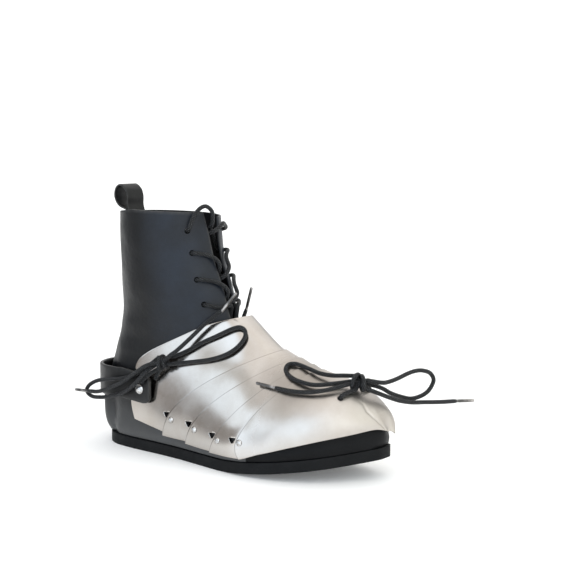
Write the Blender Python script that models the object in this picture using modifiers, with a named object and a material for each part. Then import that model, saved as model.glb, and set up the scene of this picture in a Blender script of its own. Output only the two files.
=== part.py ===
# Sabaton on a laced leather ankle boot, right foot: the toe points along -Y and the outer side along -X.
# The origin lies on the flat sole. Sizes in the tables are millimetres.
import math
from collections import namedtuple

import bmesh
import bpy
from mathutils import Matrix, Vector

MM = 0.001

# Driving sizes
SOLE_LENGTH = 300.0
SOLE_THICKNESS = 10.0
SOLE_CHAMFER = 1.0
SOLE_TOE_ROUND = 4.0
SOLE_TOE_STEPS = (0.0, 0.5, 0.85)
TOE_SPRING = 19.0
SPRING_START = 165.0
ORIGIN_FORWARD = 150.0
LEATHER = 2.0
STEEL = 1.0
STRAP_LEATHER = 3.2
PLATE_LIFT = 1.5
LAME_STEPS = 3
TOE_PLATE_STEPS = 12
PLATE_LAP = 0.28
GAP = 0.3
SEAM_GAP = 0.9
CORD_DIAMETER = 3.8
CORD_HOLE_RADIUS = 3.0
CORD_STEP = 9.0
LACE_STEP = 6.0
TIE_STEP = 4.0
KNOT_RADIUS = 5.8
KNOT_GAP = 1.7
TIP_RADIUS = 1.5
TIP_TAPER = 0.8
TIP_GAP = 0.8
RIVET_RADIUS = 2.8
STRAP_RIVET_RADIUS = 4.4
STRAP_RIVET_REACH = 7.0
CUTTER_DEPTH = 24.0
NOTCH_RADIUS = 2.6

# The sole's outline: distance forward of the heel, and from the middle line to the outer and inner edges.
SoleRow = namedtuple("SoleRow", "forward outer inner")
SOLE = (
    SoleRow(0.0, 6.0, 6.0),
    SoleRow(3.0, 14.5, 14.5),
    SoleRow(12.0, 25.0, 25.0),
    SoleRow(28.0, 32.0, 32.0),
    SoleRow(50.0, 35.0, 34.0),
    SoleRow(80.0, 37.0, 32.0),
    SoleRow(110.0, 40.0, 30.0),
    SoleRow(140.0, 45.0, 32.0),
    SoleRow(170.0, 50.0, 38.0),
    SoleRow(195.0, 53.0, 44.0),
    SoleRow(215.0, 52.0, 47.0),
    SoleRow(240.0, 46.0, 47.0),
    SoleRow(265.0, 33.0, 43.0),
    SoleRow(285.0, 13.0, 36.0),
    SoleRow(295.0, 0.0, 29.0),
    SoleRow(SOLE_LENGTH, -6.0, 23.0),
)

# Rings of the leather upper, from the sole's edge to the rim. Each ring runs from the back of the boot to its
# front; heights are above the sole's top face, ground is how much of the sole's outline the ring keeps, and
# outer_up is how much higher the outer side stands.
UpperRow = namedtuple(
    "UpperRow", "back back_up front front_up ground half swell back_round front_round outer_up", defaults=(0.0,)
)
OUTER_UP_SHARE = 0.4
UPPER = (
    UpperRow(-1.0, 0.9, 297.5, 0.4, 1.0, 36.0, -1.5, 32.0, 4.0),
    UpperRow(-5.0, 8.0, 298.5, 6.0, 1.0, 36.0, -0.5, 35.0, 4.5),
    UpperRow(-8.0, 22.0, 298.5, 12.0, 1.0, 36.0, -1.5, 37.0, 6.0),
    UpperRow(-8.3, 36.0, 296.5, 18.0, 0.92, 34.0, -1.5, 38.0, 14.0),
    UpperRow(-6.3, 48.0, 287.0, 25.5, 0.8, 33.5, -1.0, 39.0, 40.0),
    UpperRow(-2.5, 58.0, 268.0, 34.0, 0.6, 31.0, -1.0, 40.0, 60.0),
    UpperRow(0.5, 68.0, 244.0, 44.5, 0.4, 29.0, 0.0, 41.0, 70.0),
    UpperRow(3.5, 78.0, 218.0, 56.0, 0.2, 29.0, 0.0, 42.0, 78.0),
    UpperRow(6.5, 88.0, 193.0, 69.0, 0.1, 30.0, 0.0, 45.0, 85.0),
    UpperRow(9.5, 98.0, 169.0, 84.0, 0.0, 30.0, 0.0, 48.0, 90.0),
    UpperRow(11.5, 109.0, 151.0, 102.0, 0.0, 31.5, 0.0, 53.0, 86.0),
    UpperRow(13.5, 124.0, 143.0, 123.0, 0.0, 34.0, 0.0, 64.0, 64.5),
    UpperRow(14.5, 144.0, 135.5, 146.0, 0.0, 37.5, 0.0, 60.0, 60.0),
    UpperRow(15.5, 169.0, 125.5, 170.0, 0.0, 39.5, 0.0, 55.0, 55.0),
    UpperRow(16.5, 192.0, 121.0, 190.0, 0.0, 42.0, 0.0, 52.0, 52.0),
    UpperRow(17.5, 213.0, 118.5, 210.0, 0.0, 43.0, 0.0, 50.5, 50.5, 5.2),
)
THROAT_ROW = 9

# The laced opening: distance of each front edge from the middle, on the rings from the throat up.
OpeningRow = namedtuple("OpeningRow", "ring outer inner")
OPENING = (
    OpeningRow(9, 4.5, 8.5),
    OpeningRow(13, 3.5, 9.0),
    OpeningRow(14, 4.5, 9.5),
    OpeningRow(15, 10.0, 12.5),
)
HEEL_HALF = 38.0
HEEL_REACH = 60.0
SIDE_STEPS = 18
SEAM_STEP = 11
QUARTER_STEPS = SIDE_STEPS - 2
THROAT_GAP = 0.5
VAMP_SEAM_SHARE = 0.007

# Lines across the steel, from the top edge of the instep plate to the tip: where each meets the lower edge
# and where it crosses the crest. A larger sweep keeps the line low for longer before it turns forward.
SteelRow = namedtuple("SteelRow", "foot foot_up outer inner crest crest_up crest_out sweep full")
STEEL_LINES = (
    SteelRow(53.5, 32.0, 42.0, 41.0, 160.0, 132.0, 0.0, 3.6, 0.6),
    SteelRow(98.0, 25.0, 46.0, 43.0, 200.0, 104.0, 0.0, 1.75, 0.85),
    SteelRow(128.0, 20.5, 48.5, 44.0, 217.0, 98.5, 0.0, 1.65, 0.9),
    SteelRow(159.0, 17.0, 52.0, 46.0, 229.0, 94.0, -1.0, 1.45, 0.95),
    SteelRow(189.0, 16.0, 55.5, 50.0, 239.0, 90.0, -2.0, 1.7, 0.95),
    SteelRow(218.0, 24.0, 55.5, 51.0, 256.0, 86.5, -4.0, 1.5, 0.95),
    SteelRow(247.0, 33.0, 50.0, 49.0, 270.0, 82.0, -7.0, 1.35, 0.95),
    SteelRow(271.0, 40.0, 39.0, 44.0, 282.0, 75.0, -10.0, 1.2, 0.95),
    SteelRow(289.0, 44.5, 23.0, 36.0, 293.0, 66.0, -12.5, 1.0, 0.95),
    SteelRow(300.0, 47.0, 4.0, 28.0, 301.0, 57.0, -14.0, 1.0, 1.0),
    SteelRow(305.0, 44.0, -11.0, 19.0, 306.0, 47.0, -15.0, 1.0, 1.0),
)
ARCH_STEPS = 20

# The instep plate's top edge stands straight at its rear corner and then runs forward: how far it leaves the
# smooth line, where that starts and ends on the rise, and how far down the plate it fades.
SHOULDER = 5.0
SHOULDER_START = 0.42
SHOULDER_END = 0.92
SHOULDER_LINES = 0.35
CORNER_RISE = 0.22

# A rivet's shank, inner head and dome height as shares of its radius, and how thick the inner head is.
RIVET_SHANK = 0.42
RIVET_INNER_HEAD = 0.72
RIVET_DOME = 0.6
RIVET_INNER_THICKNESS = 0.8

# Side rivets and the small dark notches behind them, by line and turn on the steel.
RivetRow = namedtuple("RivetRow", "line turn notch_line notch_turn")
SIDE_RIVETS = (
    RivetRow(1.17, 0.17, 0.94, 0.2),
    RivetRow(2.18, 0.17, 1.86, 0.2),
    RivetRow(3.17, 0.15, 2.85, 0.18),
    RivetRow(4.13, 0.195, 3.83, 0.2),
)

# A place on the boot.
Place = namedtuple("Place", "forward outward up")

# The heel strap's middle line, from its outer front end to the heel; the inner side mirrors it.
STRAP_FRONT = 81.8
STRAP_TURN = 45.0
STRAP_BACK = -10.4
StrapRow = namedtuple("StrapRow", "forward outward middle height")
STRAP_ENDS = (
    StrapRow(STRAP_FRONT, 46.0, 61.7, 17.0),
    StrapRow(STRAP_FRONT - 1.5, 46.0, 61.7, 22.5),
    StrapRow(STRAP_FRONT - 4.5, 45.8, 61.8, 26.0),
    StrapRow(STRAP_FRONT - 9.0, 45.5, 62.0, 27.5),
    StrapRow(62.0, 45.0, 63.0, 28.0),
    StrapRow(STRAP_TURN, 44.0, 64.5, 28.5),
)
STRAP_RIVET = Place(69.7, 47.6, 61.4)
STRAP_BACK_MIDDLE = 62.0
STRAP_BACK_HEIGHT = 28.5
STRAP_TURN_STEPS = 16

# The pull loop's band in side view, from the front leaf inside the shaft over the loop to the back leaf.
LOOP_HALF_WIDTH = 11.1
LOOP_MIDDLE = 0.9
LoopRow = namedtuple("LoopRow", "forward up")
PULL_LOOP = (
    LoopRow(25.9, 197.0),
    LoopRow(25.9, 212.0),
    LoopRow(25.6, 221.0),
    LoopRow(23.7, 229.0),
    LoopRow(23.8, 236.5),
    LoopRow(21.3, 243.3),
    LoopRow(15.0, 247.6),
    LoopRow(9.3, 245.2),
    LoopRow(7.0, 238.0),
    LoopRow(9.3, 231.6),
    LoopRow(13.5, 227.6),
    LoopRow(18.5, 225.8),
    LoopRow(23.2, 223.4),
    LoopRow(23.4, 217.0),
    LoopRow(23.4, 197.0),
)

# Lace holes of each quarter from the top down, and one run of lace from a hole to the next hole across.
HoleRow = namedtuple("HoleRow", "ring across")
LACE_HOLES = (
    HoleRow(14.35, 24.5),
    HoleRow(13.4, 22.5),
    HoleRow(12.35, 23.0),
    HoleRow(11.4, 21.5),
)
# down is the share of the way to the next hole's ring; gap is 2 at the run's hole, 1 at its quarter's edge,
# -1 at the edge across and -2 at the hole across; lift is off the leather's face, raised is straight up.
RunRow = namedtuple("RunRow", "down gap lift raised")
LACE_OUTER_RUN = (
    RunRow(0.0, 2.0, -5.4, 0.0),
    RunRow(0.0, 2.0, -1.0, 0.0),
    RunRow(0.02, 1.87, 3.6, 0.0),
    RunRow(0.12, 1.45, 3.1, 0.0),
    RunRow(0.3, 1.1, 3.3, 0.0),
    RunRow(0.5, 0.87, 3.6, 0.0),
    RunRow(0.63, 0.74, 2.4, 0.0),
    RunRow(0.72, 0.64, 0.0, 0.0),
    RunRow(0.78, 0.48, -2.9, 0.0),
    RunRow(0.83, 0.0, -4.9, 0.0),
    RunRow(0.87, -0.6, -5.6, 0.0),
    RunRow(0.9, -1.15, -5.9, 0.0),
    RunRow(0.95, -1.7, -5.9, 0.0),
)
LACE_INNER_RUN = (
    RunRow(0.0, 2.0, -5.4, 0.0),
    RunRow(0.0, 2.0, -1.0, 0.0),
    RunRow(0.02, 1.87, 3.5, 0.0),
    RunRow(0.16, 1.45, 2.8, 0.0),
    RunRow(0.33, 1.18, 3.1, 0.0),
    RunRow(0.5, 1.0, 4.5, 0.0),
    RunRow(0.68, 0.78, 5.2, 0.0),
    RunRow(0.82, 0.4, 4.2, 0.0),
    RunRow(0.92, -0.1, 2.4, 0.0),
    RunRow(0.98, -0.48, -0.6, 0.0),
    RunRow(1.0, -0.66, -3.4, 0.0),
    RunRow(1.0, -0.8, -5.9, 0.0),
    RunRow(1.0, -1.25, -6.4, 0.0),
    RunRow(0.98, -1.7, -5.9, 0.0),
)
LACE_TOP_SLACK = (
    RunRow(0.0, 2.0, -5.4, 0.0),
    RunRow(0.0, 2.0, -1.0, 0.0),
    RunRow(0.0, 1.95, 3.0, 3.0),
    RunRow(0.0, 1.82, 4.5, 12.0),
    RunRow(0.0, 1.6, 5.5, 19.5),
    RunRow(0.0, 1.32, 6.0, 22.0),
    RunRow(0.0, 1.0, 5.5, 17.0),
    RunRow(0.0, 0.8, 4.2, 9.0),
    RunRow(0.0, 0.68, 1.8, 4.5),
    RunRow(0.0, 0.5, -1.6, 3.0),
    RunRow(0.0, 0.1, -4.4, 2.5),
    RunRow(0.06, -0.5, -5.5, 1.5),
    RunRow(0.3, -1.15, -5.8, 0.0),
    RunRow(0.93, -1.7, -5.9, 0.0),
)
LACE_TOP_EDGE = (
    RunRow(0.0, 2.0, -5.4, 0.0),
    RunRow(0.0, 2.0, -1.0, 0.0),
    RunRow(0.0, 1.87, 3.6, 1.5),
    RunRow(0.0, 1.4, 3.2, 5.5),
    RunRow(0.0, 1.02, 4.2, 6.5),
    RunRow(0.0, 0.6, 4.6, 5.0),
    RunRow(0.02, 0.1, 3.4, 2.5),
    RunRow(0.06, -0.4, 1.2, 0.0),
    RunRow(0.1, -0.62, -1.8, 0.0),
    RunRow(0.13, -0.74, -4.2, 0.0),
    RunRow(0.16, -0.84, -6.2, 0.0),
    RunRow(0.3, -1.2, -6.2, 0.0),
    RunRow(0.93, -1.7, -5.9, 0.0),
)
LACE_FOOT = (
    RunRow(0.0, 2.0, -5.4, 0.0),
    RunRow(0.0, 2.0, -1.0, 0.0),
    RunRow(0.03, 1.87, 3.6, 0.0),
    RunRow(0.08, 1.5, 2.9, -1.5),
    RunRow(0.1, 1.1, 3.1, -0.5),
    RunRow(0.16, 0.62, 2.7, 0.5),
    RunRow(0.5, 0.36, -1.0, 0.0),
    RunRow(0.9, 0.38, -4.5, 0.0),
)
LACE_FOOT_RING = 10.5
LACE_CROSSING = 3.9

# Free cords, as points forward, outward and up. The inner bow mirrors the outer one, but for its own rows.
SIDE_KNOT = Place(97.0, 43.6, 88.5)
SIDE_LOOP_AHEAD = (
    Place(101.0, 41.5, 93.5),
    Place(105.5, 40.0, 95.0),
    Place(111.5, 37.8, 97.0),
    Place(121.0, 34.8, 101.8),
    Place(133.5, 31.2, 109.2),
    Place(144.5, 27.8, 114.6),
    Place(153.5, 24.2, 119.4),
    Place(160.0, 20.7, 122.8),
    Place(165.5, 17.6, 124.2),
    Place(170.0, 16.2, 121.8),
    Place(172.3, 18.3, 117.0),
    Place(171.0, 21.8, 111.5),
    Place(167.0, 25.6, 106.0),
    Place(160.5, 29.2, 101.2),
    Place(151.5, 32.2, 97.2),
    Place(140.0, 34.9, 94.0),
    Place(126.0, 37.6, 91.5),
    Place(113.0, 40.8, 89.3),
    Place(103.5, 43.8, 88.0),
)
SIDE_LOOP_BEHIND = (
    Place(91.5, 43.1, 92.3),
    Place(86.0, 47.0, 87.5),
    Place(77.0, 49.6, 80.5),
    Place(68.0, 50.2, 75.8),
    Place(54.0, 51.0, 70.5),
    Place(37.5, 51.0, 67.6),
    Place(20.5, 50.0, 64.6),
    Place(7.5, 49.0, 59.0),
    Place(2.6, 49.0, 52.6),
    Place(9.0, 49.5, 48.1),
    Place(20.8, 50.5, 48.3),
    Place(37.2, 51.0, 51.4),
    Place(54.2, 51.6, 57.2),
    Place(68.5, 53.8, 65.8),
    Place(80.5, 55.0, 76.0),
    Place(86.0, 53.0, 81.5),
    Place(90.6, 46.5, 86.7),
)
SIDE_TAIL_AHEAD = (
    Place(102.0, 46.5, 92.0),
    Place(106.5, 45.0, 96.5),
    Place(111.5, 42.5, 100.5),
    Place(118.5, 38.6, 107.7),
    Place(126.8, 34.8, 116.4),
    Place(135.2, 31.0, 125.4),
    Place(143.8, 27.5, 132.8),
    Place(151.4, 24.8, 138.8),
)
SIDE_TAIL_AHEAD_TIP = Place(165.6, 22.6, 155.6)
SIDE_TAIL_BEHIND = (
    Place(93.5, 49.6, 89.0),
    Place(85.5, 55.0, 86.0),
    Place(75.5, 57.0, 79.5),
    Place(57.5, 55.4, 68.5),
    Place(40.5, 55.2, 60.8),
    Place(23.5, 54.0, 54.8),
    Place(8.0, 53.2, 53.3),
)
SIDE_TAIL_BEHIND_TIP = Place(-9.5, 52.0, 52.4)
INNER_LOOP_AHEAD = (
    Place(101.0, -40.5, 93.5),
    Place(110.0, -38.5, 93.0),
    Place(125.0, -36.0, 95.0),
    Place(145.0, -32.0, 100.5),
    Place(158.0, -28.3, 105.0),
    Place(165.0, -26.0, 106.0),
    Place(168.0, -27.0, 101.5),
    Place(163.5, -30.3, 95.5),
    Place(150.0, -34.2, 90.5),
    Place(130.0, -37.2, 87.5),
    Place(115.0, -39.5, 87.2),
    Place(103.5, -42.8, 88.0),
)
INNER_TAIL_AHEAD = (
    Place(101.0, -46.8, 92.5),
    Place(106.5, -45.5, 98.0),
    Place(113.0, -43.0, 106.0),
    Place(119.5, -40.5, 115.0),
    Place(125.0, -38.8, 124.5),
    Place(128.5, -38.5, 132.0),
)
INNER_TAIL_AHEAD_TIP = Place(133.5, -40.0, 152.5)
INNER_SHIFT = 1.0
TOE_KNOT = Place(281.5, -1.0, 84.8)
TOE_LOOP_BEHIND = (
    Place(276.5, -2.0, 89.3),
    Place(268.2, 5.0, 90.2),
    Place(259.4, 8.4, 89.8),
    Place(248.1, 10.2, 90.6),
    Place(238.0, 9.3, 92.6),
    Place(229.1, 10.6, 95.2),
    Place(223.2, 12.5, 96.6),
    Place(218.9, 16.5, 96.0),
    Place(219.7, 21.6, 92.0),
    Place(225.7, 24.4, 88.2),
    Place(234.8, 25.6, 85.2),
    Place(249.3, 25.6, 83.4),
    Place(258.5, 21.6, 83.6),
    Place(265.8, 14.6, 84.4),
    Place(274.0, 2.5, 85.3),
)
TOE_TAIL_BEHIND = (
    Place(276.5, 6.5, 84.2),
    Place(272.5, 14.6, 82.8),
    Place(267.0, 21.6, 80.8),
    Place(261.0, 27.2, 79.4),
    Place(253.6, 31.4, 78.2),
    Place(244.7, 33.8, 77.6),
    Place(233.9, 35.2, 77.6),
    Place(224.3, 35.8, 78.2),
    Place(218.7, 36.2, 78.8),
)
TOE_TAIL_BEHIND_TIP = Place(199.0, 36.6, 80.6)
TOE_LOOP_AHEAD = (
    Place(290.5, -3.5, 87.8),
    Place(296.5, -12.0, 84.7),
    Place(298.7, -19.0, 84.4),
    Place(302.1, -28.0, 86.2),
    Place(306.4, -39.0, 89.7),
    Place(309.6, -47.0, 91.2),
    Place(312.5, -54.0, 90.7),
    Place(315.5, -61.0, 87.8),
    Place(317.4, -64.0, 82.0),
    Place(316.6, -62.0, 76.3),
    Place(314.5, -58.0, 71.3),
    Place(310.4, -53.0, 67.8),
    Place(305.5, -46.0, 66.4),
    Place(301.2, -38.0, 68.5),
    Place(297.5, -26.0, 73.3),
    Place(294.2, -15.0, 79.5),
    Place(288.5, -8.0, 82.8),
)
TOE_TAIL_AHEAD = (
    Place(289.5, 2.0, 79.8),
    Place(294.7, -7.0, 76.7),
    Place(298.5, -18.0, 71.8),
    Place(302.8, -29.0, 67.3),
    Place(308.0, -42.0, 64.0),
    Place(313.7, -56.0, 62.5),
    Place(320.7, -70.0, 61.2),
    Place(329.3, -85.0, 60.7),
)
TOE_TAIL_AHEAD_TIP = Place(337.6, -101.0, 59.5)

# The run of cord that each bow ties: out of the knot, in through one hole and out of the next. Rows by line,
# turn and lift follow the steel's face.
TieRow = namedtuple("TieRow", "line turn lift")
SIDE_TIE_HOLE = TieRow(0.39, 0.5, 0.0)
SIDE_TIE = (
    TieRow(0.41, 0.54, 5.6),
    TieRow(0.395, 0.51, 3.4),
    TieRow(0.39, 0.5, 1.0),
    TieRow(0.39, 0.5, -1.5),
    TieRow(0.375, 0.49, -3.8),
)
STRAP_TIE_HOLE = Place(76.0, 45.6, 69.0)
STRAP_TIE = (
    Place(80.0, 36.3, 69.2),
    Place(76.6, 37.4, 69.0),
    Place(76.0, 41.5, 69.0),
    Place(76.0, 46.5, 69.0),
    Place(76.3, 50.3, 69.6),
    Place(79.5, 50.9, 72.6),
    Place(85.0, 49.4, 77.4),
    Place(92.5, 45.9, 82.6),
)
TOE_TIE_HOLES = (TieRow(6.56, 1.07, 0.0), TieRow(6.93, 1.7, 0.0))
TOE_TIE = (
    TieRow(6.74, 1.34, 4.6),
    TieRow(6.64, 1.18, 3.6),
    TieRow(6.57, 1.085, 2.4),
    TieRow(6.56, 1.07, 0.0),
    TieRow(6.56, 1.07, -2.6),
    TieRow(6.6, 1.14, -5.0),
    TieRow(6.75, 1.38, -5.6),
    TieRow(6.89, 1.62, -5.0),
    TieRow(6.93, 1.7, -2.6),
    TieRow(6.93, 1.7, 0.6),
    TieRow(6.91, 1.68, 3.4),
    TieRow(6.88, 1.63, 5.4),
)


def smooth(rows, x):
    """Values of the rows at x, on a smooth curve that never overshoots; the first column is x's own."""
    last = len(rows) - 1
    i = max(0, min(last - 1, next((k for k in range(last) if x < rows[k + 1][0]), last - 1)))
    x0, x1 = rows[i][0], rows[i + 1][0]
    t = (x - x0) / (x1 - x0)
    values = []
    for column in range(1, len(rows[0])):
        steps = [
            (rows[k + 1][column] - rows[k][column]) / (rows[k + 1][0] - rows[k][0]) for k in range(last)
        ]
        slopes = []
        for k in (i, i + 1):
            if k in (0, last):
                slopes.append(steps[0] if k == 0 else steps[-1])
            elif steps[k - 1] * steps[k] <= 0:
                slopes.append(0.0)
            else:
                slopes.append(2 * steps[k - 1] * steps[k] / (steps[k - 1] + steps[k]))
        y0, y1 = rows[i][column], rows[i + 1][column]
        m0, m1 = (slope * (x1 - x0) for slope in slopes)
        values.append(
            y0 * (1 + 2 * t) * (1 - t) ** 2
            + m0 * t * (1 - t) ** 2
            + y1 * t * t * (3 - 2 * t)
            + m1 * t * t * (t - 1)
        )
    return values


def at(forward, outward, up):
    """A point from its distance forward of the heel, to the outer side of the middle, and above the floor."""
    return Vector((-outward, ORIGIN_FORWARD - forward, up)) * MM


def spring(forward):
    """How far the sole's underside has risen from the floor."""
    share = max(0.0, forward - SPRING_START) / (SOLE_LENGTH - SPRING_START)
    return TOE_SPRING * share ** 1.35


def material(name, colour, roughness, metallic):
    made = bpy.data.materials.new(name)
    made.use_nodes = True
    shader = made.node_tree.nodes["Principled BSDF"]
    shader.inputs["Base Color"].default_value = (*colour, 1.0)
    shader.inputs["Roughness"].default_value = roughness
    shader.inputs["Metallic"].default_value = metallic
    return made


def add_object(name, data, finish, collection):
    made = bpy.data.objects.new(name, data)
    if finish:
        data.materials.append(finish)
    collection.objects.link(made)
    return made


def mesh_from_grid(name, rows, closed_rows=False, caps=False):
    """A mesh through rows of points. Closed rows are rings, which caps may close at each end."""
    shape = bmesh.new()
    grid = [[shape.verts.new(point) for point in row] for row in rows]
    count = len(rows[0])
    for low, high in zip(grid, grid[1:]):
        for j in range(count if closed_rows else count - 1):
            k = (j + 1) % count
            shape.faces.new((low[j], low[k], high[k], high[j]))
    if caps:
        shape.faces.new(list(reversed(grid[0])))
        shape.faces.new(grid[-1])
    bmesh.ops.recalc_face_normals(shape, faces=shape.faces)
    data = bpy.data.meshes.new(name)
    shape.to_mesh(data)
    shape.free()
    data.shade_smooth()
    return data


def make_sole(finish, parts):
    rings = []
    stations = [row.forward for row in SOLE]
    middles = [(a + b) / 2 for a, b in zip(stations, stations[1:]) if b - a > 18]
    toe_start = SOLE_LENGTH - SOLE_TOE_ROUND
    toe = [toe_start + SOLE_TOE_ROUND * share for share in SOLE_TOE_STEPS]
    for forward in sorted(stations + middles + toe):
        outer, inner = smooth(SOLE, forward)
        share = max(0.0, forward - toe_start) / SOLE_TOE_ROUND
        tuck = SOLE_TOE_ROUND * (1 - math.sqrt(1 - share ** 2))
        outer -= tuck
        inner -= tuck
        low = spring(forward)
        high = low + SOLE_THICKNESS
        section = (
            (outer, low + SOLE_CHAMFER),
            (outer, high - SOLE_CHAMFER),
            (outer - SOLE_CHAMFER, high),
            (SOLE_CHAMFER - inner, high),
            (-inner, high - SOLE_CHAMFER),
            (-inner, low + SOLE_CHAMFER),
            (SOLE_CHAMFER - inner, low),
            (outer - SOLE_CHAMFER, low),
        )
        rings.append([at(forward, outward, up) for outward, up in section])
    data = mesh_from_grid("sole", rings, closed_rows=True, caps=True)
    data.set_sharp_from_angle(angle=math.radians(35))
    return add_object("sole", data, finish, parts)


def upper_point(row, share, side):
    """A point of the upper on one ring. Share runs from 0 at the back to 1 at the front."""
    length = row.front - row.back
    forward = row.back + length * share
    outer, inner = smooth(SOLE, min(max(forward, 0.0), SOLE_LENGTH))
    heel = HEEL_HALF * (1 - max(0.0, forward) / HEEL_REACH)
    half = row.ground * max((outer + inner) / 2, heel) + (1 - row.ground) * row.half + row.swell
    centre = row.ground * (outer - inner) / 2
    for near, reach in ((length * share, row.back_round), (length * (1 - share), row.front_round)):
        if near < reach:
            half *= math.sqrt(max(0.0, 1 - (1 - near / reach) ** 2))
    up = SOLE_THICKNESS + spring(forward) + row.back_up + (row.front_up - row.back_up) * share
    if side > 0:
        up += row.outer_up * min(1.0, share / OUTER_UP_SHARE)
    return at(forward, centre + side * half, up)


def ring_share(step):
    """Steps crowd together at the back and the front, where the ring is round."""
    return (1 - math.cos(math.pi * step / SIDE_STEPS)) / 2


def opening_share(row, half_opening, side):
    """Where the front edge of a quarter lies on a ring, for its distance from the middle."""
    low, high = 0.6, 1.0
    for _ in range(30):
        middle = (low + high) / 2
        wide = -side * upper_point(row, middle, side).x / MM
        low, high = (middle, high) if wide > half_opening else (low, middle)
    return low


def shell(name, data, thickness, finish, parts):
    """A wall that grows inward from the faces."""
    made = add_object(name, data, finish, parts)
    wall = made.modifiers.new("wall", "SOLIDIFY")
    wall.thickness = thickness * MM
    wall.offset = -1.0
    wall.use_even_offset = False
    return made


def make_vamp(finish, parts):
    rows = []
    shares = [ring_share(step) for step in range(SEAM_STEP, SIDE_STEPS)]
    shares[0] += VAMP_SEAM_SHARE
    for row in UPPER[: THROAT_ROW + 1]:
        outer = [upper_point(row, share, 1) for share in shares]
        inner = [upper_point(row, share, -1) for share in reversed(shares)]
        rows.append([*outer, upper_point(row, 1.0, 1), *inner])
    data = mesh_from_grid("vamp", rows)
    return shell("vamp", data, LEATHER, finish, parts)


def quarter_share(number, row, step, side):
    """Where a quarter's step lies on a ring. Above the throat, the last step is the laced edge."""
    if number < THROAT_ROW or step <= SEAM_STEP:
        return ring_share(step)
    outer, inner = smooth(OPENING, number)
    end = math.acos(1 - 2 * opening_share(row, outer if side > 0 else inner, side))
    start = math.pi * SEAM_STEP / SIDE_STEPS
    turn = start + (end - start) * (step - SEAM_STEP) / (QUARTER_STEPS - SEAM_STEP)
    return (1 - math.cos(turn)) / 2


def make_quarter(name, side, finish, parts):
    shape = bmesh.new()
    verts = {}
    for i, row in enumerate(UPPER):
        for j in range(QUARTER_STEPS + 1 if i >= THROAT_ROW else SEAM_STEP + 1):
            point = upper_point(row, quarter_share(i, row, j, side), side)
            if j == 0:
                point.x = -side * SEAM_GAP / 2 * MM
            if i == THROAT_ROW and j > SEAM_STEP:
                point.z += THROAT_GAP * MM
            verts[i, j] = shape.verts.new(point)
    for i, j in verts:
        corners = ((i, j), (i, j + 1), (i + 1, j + 1), (i + 1, j))
        if all(corner in verts for corner in corners):
            order = corners if side > 0 else corners[::-1]
            shape.faces.new([verts[corner] for corner in order])
    data = bpy.data.meshes.new(name)
    shape.to_mesh(data)
    shape.free()
    data.shade_smooth()
    return shell(name, data, LEATHER, finish, parts)


def steel_point(line, turn, lift=0.0):
    """A point of the steel: line counts the rows of STEEL_LINES, turn goes from 0 at the outer foot to pi."""
    rows = [(i, *row) for i, row in enumerate(STEEL_LINES)]

    def surface(along, angle):
        row = SteelRow(*smooth(rows, along))
        rise = max(0.0, math.sin(angle))
        across = max(0.0, abs(math.cos(angle))) ** row.full
        reach = row.outer - row.crest_out if angle < math.pi / 2 else -row.inner - row.crest_out
        forward = row.foot + (row.crest - row.foot) * rise ** row.sweep
        bend = min(1.0, max(0.0, (rise - SHOULDER_START) / (SHOULDER_END - SHOULDER_START)))
        forward -= SHOULDER * math.sin(2 * math.pi * bend) * max(0.0, 1 - along / SHOULDER_LINES)
        return at(forward, row.crest_out + reach * across, row.foot_up + (row.crest_up - row.foot_up) * rise)

    point = surface(line, turn)
    if not lift:
        return point
    along = surface(min(line + 0.05, len(STEEL_LINES) - 1), turn) - surface(max(line - 0.05, 0.0), turn)
    around = surface(line, min(turn + 0.04, math.pi)) - surface(line, max(turn - 0.04, 0.0))
    return point + along.cross(around).normalized() * lift * MM


def make_plate(name, start, end, finish, parts, corner=0.0):
    """A plate between two lines. Its rear lies over the plate behind and its front runs on under the next."""
    lap = PLATE_LAP if end < len(STEEL_LINES) - 1 else 0.0
    inner_lines = LAME_STEPS if end - start < 2 else TOE_PLATE_STEPS
    rows = []
    for i in range(inner_lines + 1):
        row = []
        for j in range(ARCH_STEPS + 1):
            turn = math.pi * j / ARCH_STEPS
            low = max(0.0, 1 - math.sin(turn) / CORNER_RISE)
            first = start + corner * low * low
            line = first + (end + lap - first) * i / inner_lines
            rear = (line - start - PLATE_LAP) / max(end - start - PLATE_LAP, 0.1)
            lift = PLATE_LIFT * (1 - min(1.0, max(0.0, rear))) if start > 0 else 0.0
            row.append(steel_point(line, turn, lift + 0.001))
        rows.append(row)
    data = mesh_from_grid(name, rows)
    return shell(name, data, STEEL, finish, parts)


def between(points, share):
    """A point on the smooth curve through four points, between the middle two."""
    before, first, second, after = points
    return (
        first * 2
        + (second - before) * share
        + (before * 2 - first * 5 + second * 4 - after) * share ** 2
        + (first * 3 - before - second * 3 + after) * share ** 3
    ) / 2


def even_points(points, step):
    """Points an even step apart along the smooth curve through the route's points."""
    ends = [points[0] * 2 - points[1], *points, points[-1] * 2 - points[-2]]
    fine = [between(ends[i : i + 4], k / 12) for i in range(len(points) - 1) for k in range(12)]
    fine.append(points[-1])
    lengths = [0.0]
    for a, b in zip(fine, fine[1:]):
        lengths.append(lengths[-1] + (b - a).length)
    count = max(2, round(lengths[-1] / (step * MM)))
    found, k = [], 0
    for i in range(count + 1):
        wanted = lengths[-1] * i / count
        while k < len(fine) - 2 and lengths[k + 1] < wanted:
            k += 1
        share = (wanted - lengths[k]) / max(lengths[k + 1] - lengths[k], 1e-9)
        found.append(fine[k].lerp(fine[k + 1], min(1.0, share)))
    return found


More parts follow.
